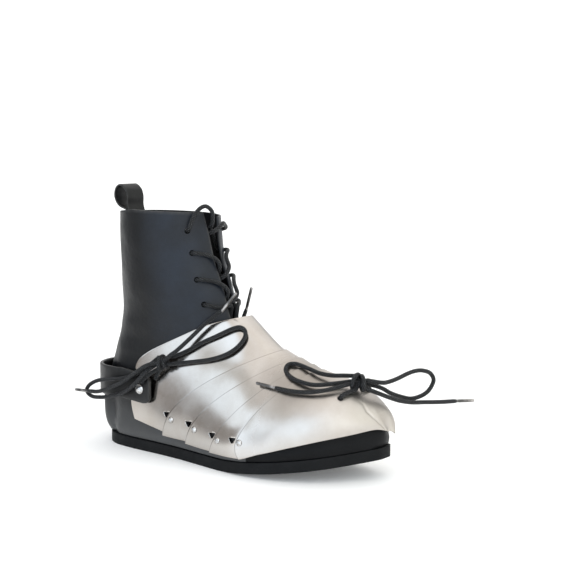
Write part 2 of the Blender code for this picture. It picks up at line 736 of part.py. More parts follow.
def make_tube(name, points, radius, finish, parts, tip_radius=None):
    route = bpy.data.curves.new(name, "CURVE")
    route.dimensions = "3D"
    route.bevel_depth = radius * MM
    route.bevel_resolution = 2
    route.use_fill_caps = True
    route.twist_mode = "MINIMUM"
    spline = route.splines.new("POLY")
    spline.points.add(len(points) - 1)
    for place, point in zip(spline.points, points):
        place.co = (*point, 1.0)
    if tip_radius:
        spline.points[-1].radius = tip_radius / radius
    return add_object(name, route, finish, parts)


def make_cord(name, points, finish, parts, step=CORD_STEP):
    return make_tube(name, even_points(points, step), CORD_DIAMETER / 2, finish, parts)


def place(row, mirrored=False):
    return at(row.forward, INNER_SHIFT - row.outward if mirrored else row.outward, row.up)


def places(rows, mirrored=False):
    return [place(row, mirrored) for row in rows]


def make_tip(name, last, far, finish, parts):
    """The metal tip on a cord's end, a slim tapered tube."""
    start = last + (far - last).normalized() * TIP_GAP * MM
    points = [start, start.lerp(far, 0.5), far]
    return make_tube(name, points, TIP_RADIUS, finish, parts, tip_radius=TIP_RADIUS * TIP_TAPER)


def make_knot(name, centre, finish, parts):
    shape = bmesh.new()
    bmesh.ops.create_uvsphere(shape, u_segments=12, v_segments=7, radius=KNOT_RADIUS * MM)
    data = bpy.data.meshes.new(name)
    shape.to_mesh(data)
    shape.free()
    data.shade_smooth()
    made = add_object(name, data, finish, parts)
    made.location = centre


def meet_knot(points, centre, ends=(0, -1)):
    """The points with each named end moved straight in or out to just clear of the knot."""
    moved = list(points)
    for end in ends:
        moved[end] = centre + (moved[end] - centre).normalized() * (KNOT_RADIUS + KNOT_GAP) * MM
    return moved


def make_bow(name, centre, loops, tails, tie, finish, tip_finish, parts):
    """A knot with two loops, two tails that each end in a metal tip, and the run of cord that it ties."""
    make_knot(name + "_knot", centre, finish, parts)
    for letter, loop in zip("ab", loops):
        make_cord(f"{name}_loop_{letter}", meet_knot(loop, centre), finish, parts)
    for letter, (tail, end) in zip("ab", tails):
        points = meet_knot(tail, centre, ends=(0,))
        make_cord(f"{name}_tail_{letter}", points, finish, parts)
        make_tip(f"{name}_tip_{letter}", points[-1], end, tip_finish, parts)
    make_cord(name + "_tie", meet_knot(tie, centre), finish, parts, step=TIE_STEP)


def steel_place(row, mirrored=False):
    """A point over the steel for a row with a line, turn and lift, and the way out of the steel there."""
    turn = math.pi - row.turn if mirrored else row.turn
    point = steel_point(row.line, turn)
    out = (steel_point(row.line, turn, 1.0) - point).normalized()
    return point + out * row.lift * MM, out


def leather_point(ring, across, lift=0.0):
    """A point on the shaft's front, at a distance from the middle and a lift off the leather's face."""
    rows = [(i, *row) for i, row in enumerate(UPPER)]

    def face(number, distance):
        row = UpperRow(*smooth(rows, number))
        side = 1 if distance >= 0 else -1
        return upper_point(row, opening_share(row, abs(distance), side), side)

    point = face(ring, across)
    along = face(ring, across + 0.6) - face(ring, across - 0.6)
    upward = face(min(ring + 0.1, len(UPPER) - 1), across) - face(ring - 0.1, across)
    out = upward.cross(along).normalized()
    return point + out * lift * MM


def lace_place(row, start, end, side, crossing):
    """One row of a run of lace, between the hole where it starts and the hole across where it ends."""
    ring = start.ring + (end.ring - start.ring) * row.down
    outer, inner = smooth(OPENING, min(ring, len(UPPER) - 1))
    own, other = (outer, inner) if side > 0 else (inner, outer)
    if row.gap > 1:
        across = own + (start.across - own) * (row.gap - 1)
    elif row.gap < -1:
        across = -other + (end.across - other) * (row.gap + 1)
    else:
        across = (own - other) / 2 + (own + other) / 2 * row.gap
    middle = max(0.0, 1 - abs(row.gap) / 0.8)
    point = leather_point(min(ring, len(UPPER) - 1), side * across, row.lift + crossing * middle)
    point.z += row.raised * MM
    return point


def make_lace(name, first_side, finish, parts):
    """A lace that starts inside the top hole of one quarter and crosses to the other at each hole below."""
    points = []
    side = first_side
    crossing = LACE_CROSSING * first_side
    foot = HoleRow(LACE_FOOT_RING, LACE_HOLES[-1].across)
    for number, hole in enumerate(LACE_HOLES):
        below = LACE_HOLES[number + 1] if number + 1 < len(LACE_HOLES) else foot
        run = LACE_OUTER_RUN if side > 0 else LACE_INNER_RUN
        if number == 0:
            run = LACE_TOP_SLACK if first_side > 0 else LACE_TOP_EDGE
        elif below is foot:
            run = LACE_FOOT
        over = crossing if below is foot else 0.0
        points += [lace_place(row, hole, below, side, over) for row in run]
        side = -side
    return make_tube(name, even_points(points, LACE_STEP), CORD_DIAMETER / 2, finish, parts)


def make_rivet(name, point, out, radius, reach_in, finish, parts):
    """A dome rivet turned about the way out of the steel: head, shank, and a small head inside."""
    shank, inner_head, dome = radius * RIVET_SHANK, radius * RIVET_INNER_HEAD, radius * RIVET_DOME
    bend = (radius ** 2 + dome ** 2) / (2 * dome)
    arc = [radius * k / 3 for k in range(4)]
    profile = [(x, math.sqrt(bend ** 2 - x ** 2) - bend + dome) for x in arc]
    profile += [(shank, 0.0), (shank, -reach_in), (inner_head, -reach_in)]
    profile += [(inner_head, -reach_in - RIVET_INNER_THICKNESS), (0.0, -reach_in - RIVET_INNER_THICKNESS)]
    shape = bmesh.new()
    verts = [shape.verts.new((x * MM, 0.0, z * MM)) for x, z in profile]
    for a, b in zip(verts, verts[1:]):
        shape.edges.new((a, b))
    data = bpy.data.meshes.new(name)
    shape.to_mesh(data)
    shape.free()
    made = add_object(name, data, finish, parts)
    made.location = point
    made.rotation_euler = out.to_track_quat("Z", "Y").to_euler()
    turned = made.modifiers.new("turned", "SCREW")
    turned.steps = turned.render_steps = 8
    turned.use_merge_vertices = True
    turned.merge_threshold = 0.00001
    return made


def make_cutter(name, holes, cutters):
    """One mesh of short closed prisms: each hole has a point, a direction, a radius and a number of sides."""
    shape = bmesh.new()
    for point, out, radius, sides in holes:
        turn = out.to_track_quat("Z", "Y").to_matrix().to_4x4()
        bmesh.ops.create_cone(
            shape, cap_ends=True, segments=sides, radius1=radius * MM, radius2=radius * MM,
            depth=CUTTER_DEPTH * MM, matrix=Matrix.Translation(point) @ turn,
        )
    bmesh.ops.recalc_face_normals(shape, faces=shape.faces)
    data = bpy.data.meshes.new(name)
    shape.to_mesh(data)
    shape.free()
    made = add_object(name, data, None, cutters)
    made.hide_render = True
    made.display_type = "WIRE"
    return made


def cut(piece, cutter):
    hole = piece.modifiers.new("holes", "BOOLEAN")
    hole.operation = "DIFFERENCE"
    hole.object = cutter


def make_heel_strap(finish, parts):
    """A band of leather: straight along each side of the foot, and half an ellipse round the heel."""
    path = list(STRAP_ENDS)
    side = STRAP_ENDS[-1]
    for k in range(1, STRAP_TURN_STEPS):
        angle = math.pi * k / STRAP_TURN_STEPS
        share = math.sin(angle)
        path.append(StrapRow(
            STRAP_TURN - (STRAP_TURN - STRAP_BACK) * share,
            side.outward * math.cos(angle),
            side.middle + (STRAP_BACK_MIDDLE - side.middle) * share,
            side.height + (STRAP_BACK_HEIGHT - side.height) * share,
        ))
    path += [row._replace(outward=-row.outward) for row in reversed(STRAP_ENDS)]
    rings = []
    for i, row in enumerate(path):
        a, b = path[max(i - 1, 0)], path[min(i + 1, len(path) - 1)]
        along = Vector((b.forward - a.forward, b.outward - a.outward)).normalized()
        out = Vector((along.y, -along.x)) * STRAP_LEATHER / 2
        rings.append([
            at(row.forward + sign * out.x, row.outward + sign * out.y, row.middle + high * row.height / 2)
            for sign, high in ((1, -1), (1, 1), (-1, 1), (-1, -1))
        ])
    data = mesh_from_grid("heel_strap", rings, closed_rows=True, caps=True)
    data.set_sharp_from_angle(angle=math.radians(40))
    return add_object("heel_strap", data, finish, parts)


def make_pull_loop(finish, parts):
    points = even_points([at(row.forward, LOOP_MIDDLE, row.up) for row in PULL_LOOP], 5.5)
    wide = Vector((LOOP_HALF_WIDTH * MM, 0.0, 0.0))
    data = mesh_from_grid("pull_loop", [[point - wide, point, point + wide] for point in points])
    made = shell("pull_loop", data, LEATHER, finish, parts)
    made.modifiers["wall"].offset = 0.0
    return made


def main():
    for old in list(bpy.data.objects):
        bpy.data.objects.remove(old)
    parts = bpy.data.collections.new("sabaton_boot")
    cutters = bpy.data.collections.new("cutters")
    bpy.context.scene.collection.children.link(parts)
    bpy.context.scene.collection.children.link(cutters)
    sole_leather = material("sole_leather", (0.02, 0.021, 0.024), 0.7, 0.0)
    leather = material("boot_leather", (0.035, 0.04, 0.05), 0.55, 0.0)
    strap_leather = material("strap_leather", (0.022, 0.023, 0.026), 0.6, 0.0)
    steel = material("satin_steel", (0.62, 0.58, 0.55), 0.35, 1.0)
    rivet_steel = material("rivet_steel", (0.8, 0.8, 0.8), 0.2, 1.0)
    waxed_cord = material("waxed_cord", (0.03, 0.032, 0.036), 0.6, 0.0)
    tip_metal = material("tip_metal", (0.1, 0.1, 0.1), 0.3, 1.0)

    make_sole(sole_leather, parts)
    make_vamp(leather, parts)
    for name, side in (("quarter_outer", 1), ("quarter_inner", -1)):
        quarter = make_quarter(name, side, leather, parts)
        holes = []
        for hole in LACE_HOLES:
            point = leather_point(hole.ring, side * hole.across)
            out = (leather_point(hole.ring, side * hole.across, 1.0) - point).normalized()
            holes.append((point, out, CORD_HOLE_RADIUS, 10))
        cut(quarter, make_cutter(name + "_holes", holes, cutters))
    make_pull_loop(leather, parts)
    make_lace("lace_a", 1, waxed_cord, parts)
    make_lace("lace_b", -1, waxed_cord, parts)

    names = ("instep_plate", "lame_1", "lame_2", "lame_3", "toe_plate")
    ends = (0, 1, 2, 3, 4, len(STEEL_LINES) - 1)
    corners = (0.12, 0.0, 0.0, 0.0, 0.25)
    holes = {name: [] for name in names}
    strap_holes = []
    for side, mirrored in (("outer", False), ("inner", True)):
        for number, row in enumerate(SIDE_RIVETS, 1):
            point, out = steel_place(TieRow(row.line, row.turn, 0.0), mirrored)
            seat = point + out * (PLATE_LIFT + GAP) * MM
            reach_in = PLATE_LIFT + STEEL + 2 * GAP
            make_rivet(f"rivet_{side}_{number}", seat, out, RIVET_RADIUS, reach_in, rivet_steel, parts)
            hole = (point, out, RIVET_RADIUS * RIVET_SHANK + GAP, 8)
            notch = (*steel_place(TieRow(row.notch_line, row.notch_turn, 0.0), mirrored), NOTCH_RADIUS, 3)
            holes[names[number]].append(hole)
            holes[names[number - 1]] += [hole, notch]
        sign = -1 if mirrored else 1
        out = Vector((-sign, 0.0, 0.0))
        seat = at(STRAP_RIVET.forward, sign * STRAP_RIVET.outward, STRAP_RIVET.up)
        reach_in = STRAP_LEATHER + STRAP_RIVET_REACH
        make_rivet(f"strap_rivet_{side}", seat, out, STRAP_RIVET_RADIUS, reach_in, rivet_steel, parts)
        rivet_hole = (seat, out, STRAP_RIVET_RADIUS * RIVET_SHANK + GAP, 10)
        tie_hole = (place(STRAP_TIE_HOLE, mirrored), out, CORD_HOLE_RADIUS, 10)
        strap_holes += [rivet_hole, tie_hole]
        plate_tie_hole = (*steel_place(SIDE_TIE_HOLE, mirrored), CORD_HOLE_RADIUS, 10)
        holes["instep_plate"] += [rivet_hole, tie_hole, plate_tie_hole]
    holes["toe_plate"] += [(*steel_place(hole), CORD_HOLE_RADIUS, 10) for hole in TOE_TIE_HOLES]
    for name, start, end, corner in zip(names, ends, ends[1:], corners):
        plate = make_plate(name, start, end, steel, parts, corner)
        cut(plate, make_cutter(name + "_holes", holes[name], cutters))
    strap = make_heel_strap(strap_leather, parts)
    cut(strap, make_cutter("heel_strap_holes", strap_holes, cutters))

    for name, mirrored, loop_ahead, tail_ahead, tip_ahead in (
        ("outer_bow", False, places(SIDE_LOOP_AHEAD), places(SIDE_TAIL_AHEAD), place(SIDE_TAIL_AHEAD_TIP)),
        ("inner_bow", True, places(INNER_LOOP_AHEAD), places(INNER_TAIL_AHEAD), place(INNER_TAIL_AHEAD_TIP)),
    ):
        loops = (loop_ahead, places(SIDE_LOOP_BEHIND, mirrored))
        tail_behind = (places(SIDE_TAIL_BEHIND, mirrored), place(SIDE_TAIL_BEHIND_TIP, mirrored))
        tie = [steel_place(row, mirrored)[0] for row in SIDE_TIE] + places(STRAP_TIE, mirrored)
        tails = ((tail_ahead, tip_ahead), tail_behind)
        make_bow(name, place(SIDE_KNOT, mirrored), loops, tails, tie, waxed_cord, tip_metal, parts)
    loops = (places(TOE_LOOP_BEHIND), places(TOE_LOOP_AHEAD))
    tails = (
        (places(TOE_TAIL_BEHIND), place(TOE_TAIL_BEHIND_TIP)),
        (places(TOE_TAIL_AHEAD), place(TOE_TAIL_AHEAD_TIP)),
    )
    tie = [steel_place(row)[0] for row in TOE_TIE]
    make_bow("toe_bow", place(TOE_KNOT), loops, tails, tie, waxed_cord, tip_metal, parts)


main()
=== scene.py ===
import math

import bmesh
import bpy
from mathutils import Matrix, Vector, noise


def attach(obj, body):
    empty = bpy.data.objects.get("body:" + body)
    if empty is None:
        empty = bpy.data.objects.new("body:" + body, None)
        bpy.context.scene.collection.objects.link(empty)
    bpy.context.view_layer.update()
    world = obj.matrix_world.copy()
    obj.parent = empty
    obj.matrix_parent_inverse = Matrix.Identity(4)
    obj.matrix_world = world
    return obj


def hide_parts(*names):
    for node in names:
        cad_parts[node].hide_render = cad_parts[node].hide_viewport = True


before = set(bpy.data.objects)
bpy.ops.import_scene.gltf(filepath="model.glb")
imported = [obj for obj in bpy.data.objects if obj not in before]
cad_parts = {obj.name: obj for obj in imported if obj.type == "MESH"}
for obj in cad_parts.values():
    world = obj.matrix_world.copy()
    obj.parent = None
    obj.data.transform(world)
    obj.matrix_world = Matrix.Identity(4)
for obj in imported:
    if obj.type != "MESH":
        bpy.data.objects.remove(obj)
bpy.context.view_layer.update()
mm = 0.001
heelToOrigin = 150
cordSize = 3.8
cordGirth = math.pi * cordSize
print("frame loaded")


def at(forward, outward, up):
    return Vector((-outward, heelToOrigin - forward, up)) * mm


cameraSettings = {
    "place": (-0.8827147, -0.7148083, 0.2898996),
    "yaw": 36.870,
    "pitch": -6.555,
    "focal": 79.516,
}


def makeCamera(settings):
    data = bpy.data.cameras.new("camera")
    data.sensor_width = 36
    data.lens = settings["focal"]
    data.clip_start = 0.01
    eye = bpy.data.objects.new("camera", data)
    bpy.context.scene.collection.objects.link(eye)
    yaw, pitch = math.radians(settings["yaw"]), math.radians(settings["pitch"])
    ahead = Vector((math.cos(pitch) * math.cos(yaw), math.cos(pitch) * math.sin(yaw), math.sin(pitch)))
    right = ahead.cross(Vector((0, 0, 1))).normalized()
    turn = Matrix((right, right.cross(ahead), -ahead)).transposed().to_4x4()
    eye.matrix_world = Matrix.Translation(settings["place"]) @ turn
    bpy.context.scene.camera = eye


makeCamera(cameraSettings)
print("camera set")


# node helpers for the finishes

def feed(socket, value):
    # links a value that comes from a node, and sets any other
    if isinstance(value, bpy.types.NodeSocket):
        socket.id_data.links.new(value, socket)
    else:
        socket.default_value = (*value, 1) if socket.type == "RGBA" else value


def addNode(tree, kind, **values):
    # each value goes to the input of its name, or else to the node itself
    node = tree.nodes.new(kind)
    for key, value in values.items():
        if key in node.inputs:
            feed(node.inputs[key], value)
        else:
            setattr(node, key, value)
    return node


def surfaceMap(shader, kind="Object", stretch=(1, 1, 1)):
    place = addNode(shader.id_data, "ShaderNodeTexCoord").outputs[kind]
    return addNode(shader.id_data, "ShaderNodeMapping", Vector=place, Scale=stretch).outputs["Vector"]


def newFinish(name, colour, roughness, metallic=0.0, **sockets):
    made = bpy.data.materials.new(name)
    made.use_nodes = True
    shader = made.node_tree.nodes["Principled BSDF"]
    sockets.update(Base_Color=colour, Roughness=roughness, Metallic=metallic)
    for socket, value in sockets.items():
        feed(shader.inputs[socket.replace("_", " ")], value)
    return made, shader, surfaceMap(shader)


def noiseOver(vector, size, detail=3.0, rough=0.55):
    # size is the width of one blotch in metres, or in map units for a UV
    tree = vector.id_data
    grain = addNode(tree, "ShaderNodeTexNoise", Vector=vector, Scale=1 / size, Detail=detail, Roughness=rough)
    return grain.outputs["Fac"]


def spread(value, low, high, start=0.3, end=0.7, kind="LINEAR"):
    scale = addNode(value.id_data, "ShaderNodeMapRange", Value=value, interpolation_type=kind)
    for key, number in (("From Min", start), ("From Max", end), ("To Min", low), ("To Max", high)):
        scale.inputs[key].default_value = number
    return scale.outputs["Result"]


def colourOver(value, stops):
    ramp = addNode(value.id_data, "ShaderNodeValToRGB", Fac=value)
    marks = ramp.color_ramp.elements
    for number, (position, colour) in ((0, stops[0]), (1, stops[-1])):
        marks[number].position = position
        marks[number].color = (*colour, 1)
    for position, colour in stops[1:-1]:
        marks.new(position).color = (*colour, 1)
    return ramp.outputs["Color"]


def mathNode(operation, first, second=0.0):
    tree = (first if isinstance(first, bpy.types.NodeSocket) else second).id_data
    node = addNode(tree, "ShaderNodeMath", operation=operation)
    feed(node.inputs[0], first)
    feed(node.inputs[1], second)
    return node.outputs["Value"]


def mixColour(share, first, second, blend="MIX"):
    node = addNode(share.id_data, "ShaderNodeMix", data_type="RGBA", blend_type=blend)
    for number, value in ((0, share), (6, first), (7, second)):
        feed(node.inputs[number], value)
    return node.outputs[2]


def distanceFrom(vector, point):
    reach = addNode(vector.id_data, "ShaderNodeVectorMath", operation="DISTANCE")
    feed(reach.inputs[0], vector)
    feed(reach.inputs[1], point)
    return reach.outputs["Value"]


def axesOf(vector):
    return addNode(vector.id_data, "ShaderNodeSeparateXYZ", Vector=vector).outputs


def edgeOf(shader):
    # the wear that the leather carries along its cut edges, and the painted contact shadow along each plate's
    # rear edge
    return addNode(shader.id_data, "ShaderNodeAttribute", attribute_name="edge").outputs["Fac"]


def dress(made, shader, tone, roughness, bumps):
    # each bump is a height, its depth in metres and its strength; later ones sit on earlier ones
    feed(shader.inputs["Base Color"], tone)
    feed(shader.inputs["Roughness"], roughness)
    last = None
    for height, depth, strength in bumps:
        bump = addNode(shader.id_data, "ShaderNodeBump", Height=height, Strength=strength, Distance=depth)
        if last:
            feed(bump.inputs["Normal"], last)
        last = bump.outputs["Normal"]
    feed(shader.inputs["Normal"], last)
    return made


leatherFinish = {
    "dark": (0.0050, 0.0064, 0.0090),
    "light": (0.0105, 0.0150, 0.0240),
    # painted reflection: the lighter tone the leather takes low down, near the floor
    "dustAndPaintedLight": (0.085, 0.085, 0.085),
    "paintedLightUp": (0.012, 0.055),  # metres above the floor: the painted reflection is full up to here, gone there
    "edge": (0.040, 0.039, 0.038),
    # metres across one cloud of tone, scuff of a cut edge, patch of shine, swell, wrinkle and pore
    "cloud": 0.045,
    "scuff": 0.0035,
    "patch": 0.018,
    "swell": 0.030,
    "wrinkle": 0.006,
    "pore": 0.0011,
    "smooth": 0.34,
    "dull": 0.48,
    "sheen": 0.28,
    # the back of the shaft is painted darker than its side, a painted shade: from this Y to that one, in this
    # tone
    "paintedShadeBack": (0.055, 0.085, (0.0016, 0.0018, 0.0022)),
}


def makeLeather(name, settings):
    dark, dull = settings["dark"], settings["dull"]
    made, shader, place = newFinish(name, dark, dull, Specular_IOR_Level=settings["sheen"])
    clouds = noiseOver(place, settings["cloud"], 4.0, 0.6)
    tone = colourOver(clouds, ((0.3, dark), (0.7, settings["light"])))
    fromY, toY, backShadeTone = settings["paintedShadeBack"]
    # painted shade: the leather's tone darkens towards the back of the shaft
    tone = mixColour(spread(axesOf(place)["Y"], 0.0, 0.9, fromY, toY), tone, backShadeTone)
    # painted reflection: the leather lightens towards the floor
    tone = mixColour(spread(axesOf(place)["Z"], 0.75, 0.0, *settings["paintedLightUp"]), tone, settings["dustAndPaintedLight"])
    worn = mathNode("MULTIPLY", edgeOf(shader), spread(noiseOver(place, settings["scuff"]), 0.35, 1.0))
    rub = spread(noiseOver(place, settings["patch"], 4.0), settings["smooth"], dull)
    pores = addNode(shader.id_data, "ShaderNodeTexVoronoi", Vector=place, Scale=1 / settings["pore"])
    pores.feature = "SMOOTH_F1"
    return dress(made, shader, mixColour(worn, tone, settings["edge"]), rub, (
        (noiseOver(place, settings["swell"]), 0.0022, 0.45),
        (noiseOver(surfaceMap(shader, stretch=(1, 1, 2.2)), settings["wrinkle"], 4.0, 0.6), 0.0004, 0.35),
        (pores.outputs["Distance"], 0.00012, 0.35),
    ))


bootLeather = makeLeather("boot_leather_finish", leatherFinish)
strapLeather = makeLeather("strap_leather_finish", {
    **leatherFinish, "dark": (0.0070, 0.0072, 0.0080), "light": (0.0120, 0.0121, 0.0130),
})
fleshLeather = makeLeather("flesh_side_finish", {
    **leatherFinish, "dark": (0.0030, 0.0031, 0.0034), "light": (0.0050, 0.0051, 0.0054),
    "smooth": 0.75, "dull": 0.9, "sheen": 0.12,
})
# a darker, less blue copy of the boot leather with less sheen, though the vamp is the same leather: painted
# shade on the lower leather under the plates
shadedVampLeather = makeLeather("vamp_painted_shade_finish", {
    **leatherFinish, "dark": (0.0050, 0.0054, 0.0062), "light": (0.0090, 0.0096, 0.0105),
    "dustAndPaintedLight": (0.0060, 0.0062, 0.0066), "sheen": 0.09,
})

soleFinish = {
    "dark": (0.0030, 0.0034, 0.0040),
    "light": (0.0060, 0.0066, 0.0075),
    # the tone of the sole's dust specks
    "dustAndPaintedLight": (0.022, 0.022, 0.021),
    # metres across one cloud of tone, speck of dust, patch of shine, swell, layer and grain of grit
    "cloud": 0.02,
    "speck": 0.0016,
    "patch": 0.01,
    "swell": 0.012,
    "layer": 0.0016,
    "grit": 0.0008,
    "smooth": 0.5,
    "dull": 0.72,
    "sheen": 0.14,
}


def makeSoleFinish(settings):
    dark, dull = settings["dark"], settings["dull"]
    made, shader, place = newFinish("sole_finish", dark, dull, Specular_IOR_Level=settings["sheen"])
    tone = colourOver(noiseOver(place, settings["cloud"], 4.0), ((0.3, dark), (0.7, settings["light"])))
    specks = spread(noiseOver(place, settings["speck"], 2.0, 0.7), 0.0, 0.55, 0.62, 0.8)
    rub = spread(noiseOver(place, settings["patch"]), settings["smooth"], dull)
    layers = noiseOver(surfaceMap(shader, stretch=(0.25, 0.25, 4)), settings["layer"], 3.0, 0.6)
    return dress(made, shader, mixColour(specks, tone, settings["dustAndPaintedLight"]), rub, (
        (noiseOver(place, settings["swell"], 2.0), 0.0010, 0.3),
        (layers, 0.00025, 0.4),
        (noiseOver(place, settings["grit"], 3.0, 0.7), 0.00015, 0.4),
    ))


soleLeather = makeSoleFinish(soleFinish)

steelFinish = {
    "warm": (0.485, 0.445, 0.405),
    "cool": (0.555, 0.525, 0.495),
    "spots": (0.42, 0.37, 0.33),
    # painted contact shadow: the dark tone along each plate's rear edge, where it lies on the plate behind
    "rearEdgeShadow": (0.20, 0.19, 0.18),
    "bright": 0.14,
    "satin": 0.20,
    # how much duller the toe plate is, and again its tip: amount, the Y where it is full and where it starts
    "toeDulling": ((0.17, -0.075, -0.040), (0.16, -0.150, -0.115)),
    # patches of painted shade under the toe bow and low at the side: middle, radii where full and gone, tone
    "shadedPatches": (
        ((232, 24, 82), 16, 42, (0.66, 0.65, 0.64)),
        ((128, 47, 24), 25, 66, (0.80, 0.80, 0.80)),
    ),
    # metres across one cloud of tone, spot, smudge, broad dent and ripple; brush lines in UV units
    "cloud": 0.038,
    "spot": 0.009,
    "smudge": 0.016,
    "dent": 0.034,
    "ripple": 0.009,
    "brushLength": 14.0,
    "brushWidth": 0.35,
}


def makeSteel(settings):
    made, shader, place = newFinish("satin_steel_finish", settings["warm"], settings["satin"], 1.0)
    clouds = noiseOver(place, settings["cloud"], 5.0, 0.62)
    tone = colourOver(clouds, ((0.32, settings["warm"]), (0.68, settings["cool"])))
    spots = spread(noiseOver(place, settings["spot"], 3.0, 0.6), 0.0, 0.2, 0.58, 0.75)
    tone = mixColour(spots, tone, settings["spots"])
    # painted shade: the tone is multiplied darker within each patch
    for middle, full, clear, dull in settings["shadedPatches"]:
        share = spread(distanceFrom(place, at(*middle)), 1.0, 0.0, full * mm, clear * mm)
        tone = mixColour(share, tone, dull, "MULTIPLY")
    smudges = noiseOver(place, settings["smudge"], 5.0, 0.65)
    satin = spread(smudges, settings["bright"], settings["satin"])
    for amount, far, near in settings["toeDulling"]:
        satin = mathNode("ADD", satin, spread(axesOf(place)["Y"], amount, 0.0, far, near))
    brushMap = surfaceMap(shader, "UV", (1 / settings["brushLength"], 1 / settings["brushWidth"], 1))
    # painted contact shadow: each plate darkens along its rear edge
    return dress(made, shader, mixColour(edgeOf(shader), tone, settings["rearEdgeShadow"]), satin, (
        (noiseOver(place, settings["dent"], 1.0), 0.0030, 0.07),
        (noiseOver(place, settings["ripple"], 2.0), 0.00030, 0.03),
        (noiseOver(brushMap, 1.0, 2.0, 0.6), 0.00004, 0.03),
    ))


satinSteel = makeSteel(steelFinish)

rivetFinish = {
    "colour": (0.60, 0.60, 0.60),
    "tarnish": (0.36, 0.34, 0.32),
    "bright": 0.14,
    "dull": 0.34,
    # metres across one spot of tarnish, scratch, hammer mark and grain
    "spot": 0.0018,
    "scratch": 0.0012,
    "mark": 0.0016,
    "grain": 0.0004,
}


def makeRivetFinish(settings):
    made, shader, place = newFinish("rivet_steel_finish", settings["colour"], settings["bright"], 1.0)
    spots = noiseOver(place, settings["spot"])
    tone = colourOver(spots, ((0.35, settings["tarnish"]), (0.6, settings["colour"])))
    rub = spread(noiseOver(place, settings["scratch"], 2.0), settings["bright"], settings["dull"])
    return dress(made, shader, tone, rub, (
        (noiseOver(surfaceMap(shader, stretch=(2.5, 2.5, 0.5)), settings["mark"], 2.0), 0.0005, 0.4),
        (noiseOver(place, settings["grain"], 2.0), 0.00008, 0.3),
    ))


rivetSteel = makeRivetFinish(rivetFinish)

cordFinish = {
    "dark": (0.0015, 0.0017, 0.0022),
    # the lighter tone of the braid's crossings: the braid's own pattern, made brighter as a painted highlight
    "light": (0.095, 0.102, 0.112),
    # millimetres along the cord from one crossing of the braid to the next, and the strands round it
    "pick": 3.0,
    "strands": 6,
    "fuzz": 0.0007,
    "waxed": 0.30,
    "dry": 0.55,
    "sheen": 0.35,
}


def makeCordFinish(settings):
    # the braid follows each cord's own UV, which is in millimetres along and around it
    dark, dry = settings["dark"], settings["dry"]
    made, shader, place = newFinish("waxed_cord_finish", dark, dry, Specular_IOR_Level=settings["sheen"])
    way = axesOf(surfaceMap(shader, "UV"))
    along = mathNode("MULTIPLY", way["X"], math.pi / settings["pick"])
    around = mathNode("MULTIPLY", way["Y"], settings["strands"] * math.pi / cordGirth)
    rising = mathNode("SINE", mathNode("ADD", along, around))
    falling = mathNode("SINE", mathNode("SUBTRACT", along, around))
    braid = mathNode("ABSOLUTE", mathNode("MULTIPLY", rising, falling))
    fuzz = noiseOver(place, settings["fuzz"], 3.0, 0.7)
    # the braid's crossings are painted light: partly the braid's pattern, partly a painted highlight
    light = mathNode("MULTIPLY", braid, spread(fuzz, 0.15, 1.0, 0.35, 0.72))
    tone = colourOver(light, ((0.2, dark), (0.85, settings["light"])))
    return dress(made, shader, tone, spread(fuzz, settings["waxed"], dry), (
        (braid, 0.0008, 1.0), (fuzz, 0.0002, 0.25),
    ))


waxedCord = makeCordFinish(cordFinish)

tipFinish = {
    "dark": (0.10, 0.097, 0.095),
    "bare": (0.42, 0.40, 0.39),
    "bright": 0.2,
    "dull": 0.4,
    # metres across one rubbed patch, scratch and grain
    "patch": 0.012,
    "scratch": 0.0015,
    "grain": 0.001,
}


def makeTipFinish(settings):
    made, shader, place = newFinish("tip_metal_finish", settings["dark"], settings["bright"], 1.0)
    rubbed = spread(noiseOver(place, settings["patch"]), 0.0, 1.0, 0.40, 0.60)
    rub = spread(noiseOver(place, settings["scratch"], 2.0), settings["bright"], settings["dull"])
    return dress(made, shader, mixColour(rubbed, settings["dark"], settings["bare"]), rub, (
        (noiseOver(place, settings["grain"], 2.0), 0.00005, 0.15),
    ))


tipMetal = makeTipFinish(tipFinish)
print("finishes made")


# shapes shared by the pieces

def circle(radius, sides=20):
    turns = [2 * math.pi * k / sides for k in range(sides)]
    return [(radius * math.cos(turn), radius * math.sin(turn)) for turn in turns]


def slopeAt(rows, column, k):
    near = rows[max(k - 1, 0):k + 2]
    steps = [(b[column] - a[column]) / (b[0] - a[0]) for a, b in zip(near, near[1:])]
    if len(steps) == 1:
        return steps[0]
    before, after = steps
    return 2 * before * after / (before + after) if before * after > 0 else 0.0


def smooth(rows, x):
    # a curve through the rows that never overshoots; the first column is x's own
    last = len(rows) - 1
    i = next((k for k in range(last) if x < rows[k + 1][0]), last - 1)
    width = rows[i + 1][0] - rows[i][0]
    t = (x - rows[i][0]) / width
    values = []
    for column in range(1, len(rows[0])):
        y0, y1 = rows[i][column], rows[i + 1][column]
        m0, m1 = (slopeAt(rows, column, k) * width for k in (i, i + 1))
        start = y0 * (1 + 2 * t) + m0 * t
        end = y1 * (3 - 2 * t) + m1 * (t - 1)
        values.append(start * (1 - t) ** 2 + end * t * t)
    return values


def between(points, share):
    before, first, second, after = points
    return (
        first * 2 + (second - before) * share
        + (before * 2 - first * 5 + second * 4 - after) * share ** 2
        + (first * 3 - before - second * 3 + after) * share ** 3
    ) / 2


